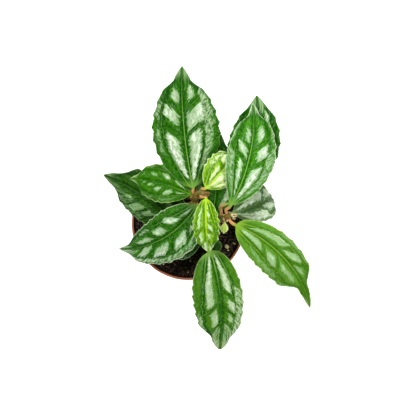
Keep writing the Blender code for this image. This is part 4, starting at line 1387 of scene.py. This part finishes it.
def tone_settings(tone, green, deep, silver, vein, edge, haze, shine, ragged, mottle):
    """A property group for one tone of leaf."""
    properties = {
        "green": colour_property("Green", f"Main green of a {tone} leaf", green),
        "deep": colour_property("Deep green", f"Green beside the veins of a {tone} leaf", deep),
        "silver": colour_property("Silver", f"Raised patches of a {tone} leaf", silver),
        "vein": colour_property("Veins", f"Midrib and side veins of a {tone} leaf", vein),
        "edge": colour_property("Edge", f"Margin and tip of a {tone} leaf", edge),
        "haze": FloatProperty(name="Haze", description="Strength of the sheen beside the margin",
                              default=haze, min=0, max=1, subtype="FACTOR"),
        # Shine sets the strength of the painted highlights, the near-white glints on the silver
        # patches
        "shine": FloatProperty(name="Shine", description="Strength of the patches' white flecks",
                               default=shine, min=0, max=1, subtype="FACTOR"),
        "ragged": FloatProperty(name="Raggedness", default=ragged, min=0, max=20,
                                description="How far the marks' edges break, in mm"),
        "mottle": FloatProperty(name="Mottling", default=mottle, min=0, max=1, subtype="FACTOR",
                                description="Strength of the darker mottling"),
    }
    return type(f"PLANT_PG_{tone}", (bpy.types.PropertyGroup,), {"__annotations__": properties})


TONE_GROUPS = {tone: tone_settings(tone, *values) for tone, values in TONES.items()}


class PLANT_PG_leaves(bpy.types.PropertyGroup):
    """The leaves' colours, with the white of their painted highlights: those that all share, and
    below, a group for each tone.
    """
    # Glint is the colour of the painted highlights on the silver patches
    glint: colour_property("Glint", "The silver patches' brightest flecks", (0.88, 0.93, 0.84))
    underside: colour_property("Underside", "The blades' pale lower side", (0.20, 0.33, 0.12))
    stalk: colour_property("Stalk", "The leaf stalks near the stem", (0.78, 0.40, 0.15))


PLANT_PG_leaves.__annotations__.update({
    tone: PointerProperty(name=tone.capitalize(), description=f"The colours of a {tone} leaf",
                          type=group) for tone, group in TONE_GROUPS.items()})


class PLANT_PG_wood(bpy.types.PropertyGroup):
    """The stems, buds and scales."""
    stem: colour_property("Stem", "The stems between their joints", (0.16, 0.17, 0.010))
    joint: colour_property("Joint", "The stems at their joints", (0.22, 0.13, 0.010))
    scale: colour_property("Scales", "Papery scales at the joints and buds", (0.30, 0.16, 0.028))
    pale_scale: colour_property("Pale scales", "The scales' tips", (1.0, 0.86, 0.50))


class PLANT_PG_pot(bpy.types.PropertyGroup):
    """The pot and the soil in it."""
    plastic: colour_property("Pot", "The pot's terracotta-coloured plastic", (0.44, 0.125, 0.040))
    soil: colour_property("Soil", "The moist potting mix", (0.0035, 0.0018, 0.0013))
    fibre: colour_property("Fibres", "The browner lumps of the mix", (0.20, 0.090, 0.062))
    bits: colour_property("Bits", "The small pale bits in the mix", (0.42, 0.34, 0.26))
    crumb: colour_property("Crumbs", "The paler bits of bark and fibre", (0.19, 0.085, 0.042))
    grain: colour_property("Pale grains", "The grains of white and yellow", (0.92, 0.70, 0.38))
    lumps: IntProperty(name="Lumps", description="How many lumps the soil's top has",
                       default=1500, min=0, max=4000)
    crumbs: IntProperty(name="Crumbs", description="How many loose crumbs lie on the soil",
                        default=760, min=1, max=3000)


class PLANT_PG_stage(bpy.types.PropertyGroup):
    """The floor, the lights and the camera."""
    floor: colour_property("Floor", "The pale floor", (0.85, 0.85, 0.85))
    floor_shade: colour_property("Floor's shade", "The floor's faint clouds", (0.82, 0.82, 0.82))
    camera_height: FloatProperty(name="Camera height", description="The lens above the floor",
                                 default=0.73, min=0.3, max=3, unit="LENGTH")
    lens: FloatProperty(name="Lens", description="The camera's focal length, in mm",
                        default=70.9, min=20, max=300)


class PLANT_OT_leaves(bpy.types.Operator):
    """Makes the leaves with their stalks"""
    bl_idname = "plant.leaves"
    bl_label = "Leaves"

    def execute(self, context):
        settings = context.scene.plant_leaves
        finishes = {tone: leaf_material(tone, settings) for tone in TONES}
        for leaf in LEAVES:
            make_leaf(leaf, finishes[leaf.tone])
        return {"FINISHED"}


class PLANT_OT_stems(bpy.types.Operator):
    """Makes the stems, the buds at their tips and the scales at their joints"""
    bl_idname = "plant.stems"
    bl_label = "Stems and buds"

    def execute(self, context):
        settings = context.scene.plant_wood
        bark = stem_material(settings)
        papery = scale_material(settings)
        random = np.random.default_rng(SCALE_SEED)
        for stem in STEMS:
            make_stem(stem, bark)
            make_bud(stem, papery)
            make_joint_scales(stem, papery, random)
        return {"FINISHED"}


class PLANT_OT_pot(bpy.types.Operator):
    """Makes the pot"""
    bl_idname = "plant.pot"
    bl_label = "Pot"

    def execute(self, context):
        make_pot(pot_material(context.scene.plant_pot))
        return {"FINISHED"}


class PLANT_OT_soil(bpy.types.Operator):
    """Makes the soil, its crumbs and its pale grains"""
    bl_idname = "plant.soil"
    bl_label = "Soil"

    def execute(self, context):
        make_soil(context.scene.plant_pot)
        return {"FINISHED"}


class PLANT_OT_stage(bpy.types.Operator):
    """Makes the floor, the lights and the camera"""
    bl_idname = "plant.stage"
    bl_label = "Stage"

    def execute(self, context):
        settings = context.scene.plant_stage
        make_floor(settings)
        make_room()
        make_lights()
        make_camera(settings)
        return {"FINISHED"}


class PLANT_PT_panel(bpy.types.Panel):
    """Lists the plant's pieces and their settings"""
    bl_idname = "PLANT_PT_panel"
    bl_label = "Potted aluminum plant"
    bl_space_type = "VIEW_3D"
    bl_region_type = "UI"
    bl_category = "Plant"

    def draw(self, context):
        for operator, group in PIECES:
            box = self.layout.box()
            box.operator(operator.bl_idname)
            settings = getattr(context.scene, group)
            for name in settings.__annotations__:
                if name not in TONES:
                    box.prop(settings, name)
        for tone in TONES:
            box = self.layout.box()
            box.label(text=f"{tone.capitalize()} leaves")
            settings = getattr(context.scene.plant_leaves, tone)
            for name in settings.__annotations__:
                box.prop(settings, name)


PIECES = ((PLANT_OT_pot, "plant_pot"), (PLANT_OT_soil, "plant_pot"),
          (PLANT_OT_stems, "plant_wood"), (PLANT_OT_leaves, "plant_leaves"),
          (PLANT_OT_stage, "plant_stage"))
SETTINGS = {"plant_leaves": PLANT_PG_leaves, "plant_wood": PLANT_PG_wood,
            "plant_pot": PLANT_PG_pot, "plant_stage": PLANT_PG_stage}
CLASSES = (*TONE_GROUPS.values(), *SETTINGS.values(), *(piece[0] for piece in PIECES),
           PLANT_PT_panel)


def stem_material(settings):
    """Fleshy stems: green between the joints and brown at them, with fine uneven skin."""
    material, nodes, colour, _ = grained_material("Stem skin", settings.stem, STEM_TEXTURE)
    joint = nodes.mix(nodes.value("joint"), colour, opaque(settings.joint))
    nodes.shade({"Base Color": joint})
    return material


def scale_material(settings):
    """Papery scales: brown, with pale dry tips."""
    material, nodes, colour, _ = grained_material("Papery scales", settings.scale, SCALE_TEXTURE)
    dry = nodes.ramp(nodes.value("share") * nodes.value("pale"), *DRY_TIP)
    nodes.shade({"Base Color": nodes.mix(dry, colour, opaque(settings.pale_scale))})
    return material


def pot_material(settings):
    """Terracotta-coloured plastic with a satin skin, faintly mottled, and in the soil's dark colour
    on the inside below the lip."""
    material, nodes, colour, mask = grained_material("Terracotta plastic", settings.plastic,
                                                     POT_TEXTURE)
    parts = nodes.add("SeparateXYZ", {"Vector": nodes.place()})
    x, y, z = (nodes.field(parts, label) for label in "XYZ")
    radius = nodes.math("POWER", x * x + y * y, 0.5)
    lip = (POT_RIM_RADIUS - RIM_LIP + RIM_ROUNDING) * MM
    band_low = (POT_HEIGHT - RIM_BAND_HEIGHT) * MM
    # The inside wall and the lip's inner edge take the soil's dark colour, up to a wavy edge
    wobbled_radius = radius + mask * (LIP_DARK_WOBBLE * MM)
    in_lip = nodes.ramp(wobbled_radius, *(lip + edge * MM for edge in LIP_DARK_EDGE), 1.0, 0.0)
    in_lip = in_lip * nodes.ramp(z, band_low, band_low + BAND_DARKENS * MM)
    spread = (pot_outer_radius(POT_HEIGHT) - POT_FOOT_RADIUS) / POT_HEIGHT
    inner_wall = z * spread + (POT_FOOT_RADIUS - POT_WALL / 2) * MM
    inside = nodes.math("MAXIMUM", nodes.math("LESS_THAN", radius, inner_wall), in_lip)
    above_floor = nodes.ramp(z, *(height * MM for height in WALL_DARKENS))
    nodes.shade({"Base Color": nodes.mix(inside * above_floor, colour, opaque(settings.soil))})
    return material


def soil_material(settings):
    """Moist potting mix: nearly black, with browner lumps and small pale bits."""
    material, nodes, colour, _ = grained_material("Potting mix", settings.soil, SOIL_TEXTURE)
    place = nodes.place()
    fibres = nodes.spots(place, FIBRES) * FIBRE_STRENGTH
    colour = nodes.mix(fibres, colour, opaque(settings.fibre))
    colour = nodes.mix(nodes.spots(place, BITS), colour, opaque(settings.bits))
    nodes.shade({"Base Color": colour, "Specular IOR Level": SOIL_SPECULAR})
    return material


def crumb_material(settings):
    """Loose bits, from soil to bark brown by the number that each carries."""
    material, nodes, colour, _ = grained_material("Crumbs", settings.soil, CRUMB_TEXTURE)
    bark = nodes.mix(nodes.value("tone"), colour, opaque(settings.crumb))
    nodes.shade({"Base Color": bark})
    return material


def grain_material(settings):
    """Pale grains, white to yellow."""
    return grained_material("Pale grains", settings.grain, GRAIN_TEXTURE)[0]


def floor_material(settings):
    """A matt floor with faint clouds, which glows a little so that it stays pale under shadows."""
    material, nodes = new_material("Floor")
    clouds = nodes.spots(nodes.place(), CLOUDS)
    colour = nodes.mix(clouds, opaque(settings.floor), opaque(settings.floor_shade))
    nodes.shade({"Base Color": colour, "Roughness": FLOOR_ROUGHNESS, "Emission Color": WHITE,
                 "Emission Strength": FLOOR_GLOW})
    return material


def make_pot(finish):
    """The pot: its rounded section turned about Z, with the drain holes cut."""
    profile = rounded(pot_profile(), RIM_ROUNDING)
    pot = new_piece("plant_pot", *closed_tubes(turned_rings(profile, POT_SIDES)[None]), finish)
    cut_drain_holes(pot)
    pot.data.shade_smooth()
    pot.data.set_sharp_from_angle(angle=math.radians(SHARP_ANGLE))
    place_piece(pot, "pot", "pot")


def make_soil(settings):
    """The soil's body, a turned side under rings that follow the top's height, then the loose
    crumbs and pale grains half sunk in its top."""
    random = np.random.default_rng(SOIL_SEED)
    lumps = soil_lumps(random, settings.lumps)
    edge = soil_edge()
    radii = np.arange(SOIL_RING_STEP / 2, edge, SOIL_RING_STEP)
    low = FOOT_RAISE + POT_FLOOR + GAP
    band_low = POT_HEIGHT - RIM_BAND_HEIGHT
    side = np.array([(edge, SOIL_LEVEL), (pot_outer_radius(band_low) - POT_WALL - GAP, band_low),
                     (pot_outer_radius(low) - POT_WALL - GAP, low), (1.0, low)])
    top = turned_rings(np.stack([radii, np.full(len(radii), SOIL_LEVEL)], -1), SOIL_SIDES)
    top[..., 2] = soil_height(top[..., 0], top[..., 1], lumps)
    rings = np.concatenate([top, turned_rings(side, SOIL_SIDES)])
    soil = new_piece("potting_soil", *closed_tubes(rings[None]), soil_material(settings))
    place_piece(soil, "soil", "soil")
    make_crumbs(random, lumps, settings)
    make_grains(random, lumps, settings)


def make_crumbs(random, lumps, settings):
    """Loose crumbs all over the soil, most of them small and dark."""
    x, y = scatter(random, settings.crumbs, LOOSE_REACH)
    radii = between(CRUMB_RADIUS, random.random(settings.crumbs) ** 2)
    centres = np.stack([x, y, soil_height(x, y, lumps) + CRUMB_RISE * radii], -1)
    rings = blobs(random, centres, radii, CRUMB_FLATNESS, *CRUMB_GRID)
    crumbs = new_piece("soil_crumbs", *closed_tubes(rings), crumb_material(settings))
    tone = random.random(settings.crumbs) ** 3
    add_value(crumbs, "tone", with_ends(np.broadcast_to(tone[:, None, None], rings.shape[:3])))
    place_piece(crumbs, "soil")


def make_grains(random, lumps, settings):
    """The pale grains that show most, each in its place, and smaller ones scattered."""
    placed = np.array(PALE_GRAINS)
    x, y = scatter(random, SPECKS, LOOSE_REACH)
    radii = between(SPECK_RADIUS, random.random(SPECKS) ** 2)
    x = np.concatenate([placed[:, 0], x])
    y = np.concatenate([placed[:, 1], y])
    radii = np.concatenate([placed[:, 2], radii])
    centres = np.stack([x, y, soil_height(x, y, lumps) + GRAIN_RISE * radii], -1)
    rings = blobs(random, centres, radii, GRAIN_FLATNESS, *GRAIN_GRID)
    grains = new_piece("pale_grains", *closed_tubes(rings), grain_material(settings))
    place_piece(grains, "soil")


def make_stem(stem, finish):
    """A tube along the stem's axis: a faintly five-sided section with a ring at each joint, drawn
    in at both ends."""
    axis, radius = stem_points(stem, STEM_RING_STEP)
    direction = unit(np.gradient(axis, axis=0))
    side = unit(np.cross(direction, np.array([0, 1.0, 0])))
    front = np.cross(side, direction)
    closeness = np.zeros(len(axis))
    for joint in stem.joints:
        distance = axis[:, 2] - joint
        radius = radius + RING_RISE * np.exp(-(distance / RING_WIDTH) ** 2)
        closeness = np.maximum(closeness, np.exp(-(distance / JOINT_BROWN_REACH) ** 2))
    ends = np.minimum(np.arange(len(axis)), np.arange(len(axis))[::-1]) * STEM_RING_STEP
    radius = radius * (END_RADIUS + (1 - END_RADIUS) * ease(0, END_LENGTH, ends))
    angle = np.arange(STEM_SIDES) * 2 * np.pi / STEM_SIDES
    wobble = 1 + STEM_RIB_HEIGHT * np.cos(STEM_RIBS * angle + STEM_TWIST * axis[:, 2, None])
    reach = radius[:, None] * wobble
    rings = (axis[:, None] + side[:, None] * (reach * np.cos(angle))[..., None]
             + front[:, None] * (reach * np.sin(angle))[..., None])
    piece = new_piece(stem.name + "_skin", *closed_tubes(rings[None]), finish)
    joints = np.broadcast_to(closeness[:, None], rings.shape[:2])
    add_value(piece, "joint", with_ends(joints[None]))
    place_piece(piece, "stem", stem.name)


def around(direction, count, turn):
    """Unit vectors round a direction and square to it, evenly apart. The first is turned by the
    share turn of the angle between two."""
    side = unit(np.cross(direction, np.array([0.3, 1.0, 0.0])))
    front = np.cross(side, direction)
    angle = (np.arange(count) + turn) * 2 * np.pi / count
    return side * np.cos(angle)[:, None] + front * np.sin(angle)[:, None]


def add_share(piece, rings, pale):
    """How far along its scale each point lies, from 0 to 1, and how pale the scales' tips are."""
    share = np.linspace(0, 1, SCALE_ROWS)[None, :, None]
    add_value(piece, "share", with_ends(np.broadcast_to(share, rings.shape[:3])))
    add_value(piece, "pale", with_ends(np.full(rings.shape[:3], pale)))


def make_bud(stem, finish):
    """Overlapping scales in two whorls that close over the stem's tip."""
    axis = stem_points(stem, STEM_STEP)[0]
    up = unit(axis[-1] - axis[-2])
    outs = around(up, BUD_SCALES, BUD_TURN)
    bases = axis[-1] + up * GAP + outs * BUD_RADIUS
    bases[1::2] -= outs[1::2] * BUD_INNER_STEP
    axes = np.broadcast_to(up, outs.shape)
    whorls = [scales(bases[start::2], axes[start::2], outs[start::2], BUD_SCALE_LENGTH, *shape)
              for start, shape in enumerate((BUD_OUTER_SCALE, BUD_INNER_SCALE))]
    rings = np.concatenate(whorls)
    name = stem.name.replace("stem", "bud")
    piece = new_piece(name + "_scales", *closed_tubes(rings), finish)
    add_share(piece, rings, stem.pale)
    place_piece(piece, "bud", name)


def make_joint_scales(stem, finish, random):
    """A ragged whorl of small pointed scales at each joint, each of its own length and lean."""
    axis, radius = stem_points(stem, STEM_RING_STEP)
    whorls = []
    for joint in stem.joints:
        up = direction_at(axis, joint)
        outs = around(up, JOINT_SCALES, random.random())
        reach = float(np.interp(joint, axis[:, 2], radius))
        rise = up * random.uniform(*JOINT_SCALE_RISE, (JOINT_SCALES, 1))
        bases = axis_at(axis, joint) + outs * (reach - JOINT_SCALE_SINK) + rise
        shape = [random.uniform(*ends, JOINT_SCALES) for ends in JOINT_SCALE_SHAPE]
        whorls.append(scales(bases, np.broadcast_to(up, outs.shape), outs, *shape))
    rings = np.concatenate(whorls)
    piece = new_piece(stem.name + "_joint_scales", *closed_tubes(rings), finish)
    add_share(piece, rings, stem.pale)
    place_piece(piece, "bud")


def make_floor(settings):
    """A wide flat square under the plant."""
    corners = np.array([(-1, -1, 0), (1, -1, 0), (1, 1, 0), (-1, 1, 0)]) * FLOOR_HALF_SIZE
    mesh = bpy.data.meshes.new("floor")
    mesh.from_pydata(corners.tolist(), [], [(0, 1, 2, 3)])
    mesh.materials.append(floor_material(settings))
    floor = add_to_scene("floor", mesh)


def make_room():
    """An even, dim room. Where it is itself in the picture, it is as pale as the floor."""
    world = bpy.data.worlds.new("Studio")
    world.use_nodes = True
    nodes = Nodes(world.node_tree)
    dim = world.node_tree.nodes["Background"]
    nodes.feed(dim, {"Color": WHITE, "Strength": ROOM_LIGHT})
    pale = nodes.add("Background", {"Color": WHITE, "Strength": FLOOR_GLOW})
    seen = nodes.field(nodes.add("LightPath"), "Is Camera Ray")
    both = nodes.add("MixShader", {0: seen, 1: nodes.field(dim), 2: nodes.field(pale)})
    nodes.feed(world.node_tree.nodes["World Output"], {0: nodes.field(both)})
    bpy.context.scene.world = world


def make_lights():
    """Soft square boxes of light round the plant, turned towards it."""
    for name, place, size, power in LIGHTS:
        data = bpy.data.lights.new(name, "AREA")
        data.shape = "SQUARE"
        data.size = size
        data.energy = power
        light = add_to_scene(name, data)
        light.location = place
        aim = Vector(LIGHT_AIM) - Vector(place)
        light.rotation_mode = "QUATERNION"
        light.rotation_quaternion = aim.to_track_quat("-Z", "Y")


def make_camera(settings):
    """Straight above the plant, looking down, with +Y up in the picture and plain colours."""
    data = bpy.data.cameras.new("camera")
    data.lens = settings.lens
    data.sensor_width = SENSOR_WIDTH
    camera = add_to_scene("camera", data)
    camera.location = (CAMERA_X * MM, CAMERA_Y * MM, settings.camera_height)
    bpy.context.scene.camera = camera
    bpy.context.scene.view_settings.view_transform = "Standard"


def register():
    """Makes the settings, the operators and the panel known to Blender."""
    for each in CLASSES:
        bpy.utils.register_class(each)
    for name, group in SETTINGS.items():
        setattr(bpy.types.Scene, name, PointerProperty(type=group))


def unregister():
    """Takes the settings, the panel and the operators out again."""
    for name in SETTINGS:
        delattr(bpy.types.Scene, name)
    for each in reversed(CLASSES):
        bpy.utils.unregister_class(each)


def main():
    """Makes every piece and the stage."""
    register()
    bpy.ops.plant.pot()
    bpy.ops.plant.soil()
    bpy.ops.plant.stems()
    bpy.ops.plant.leaves()
    bpy.ops.plant.stage()


if __name__ == "__main__":
    main()
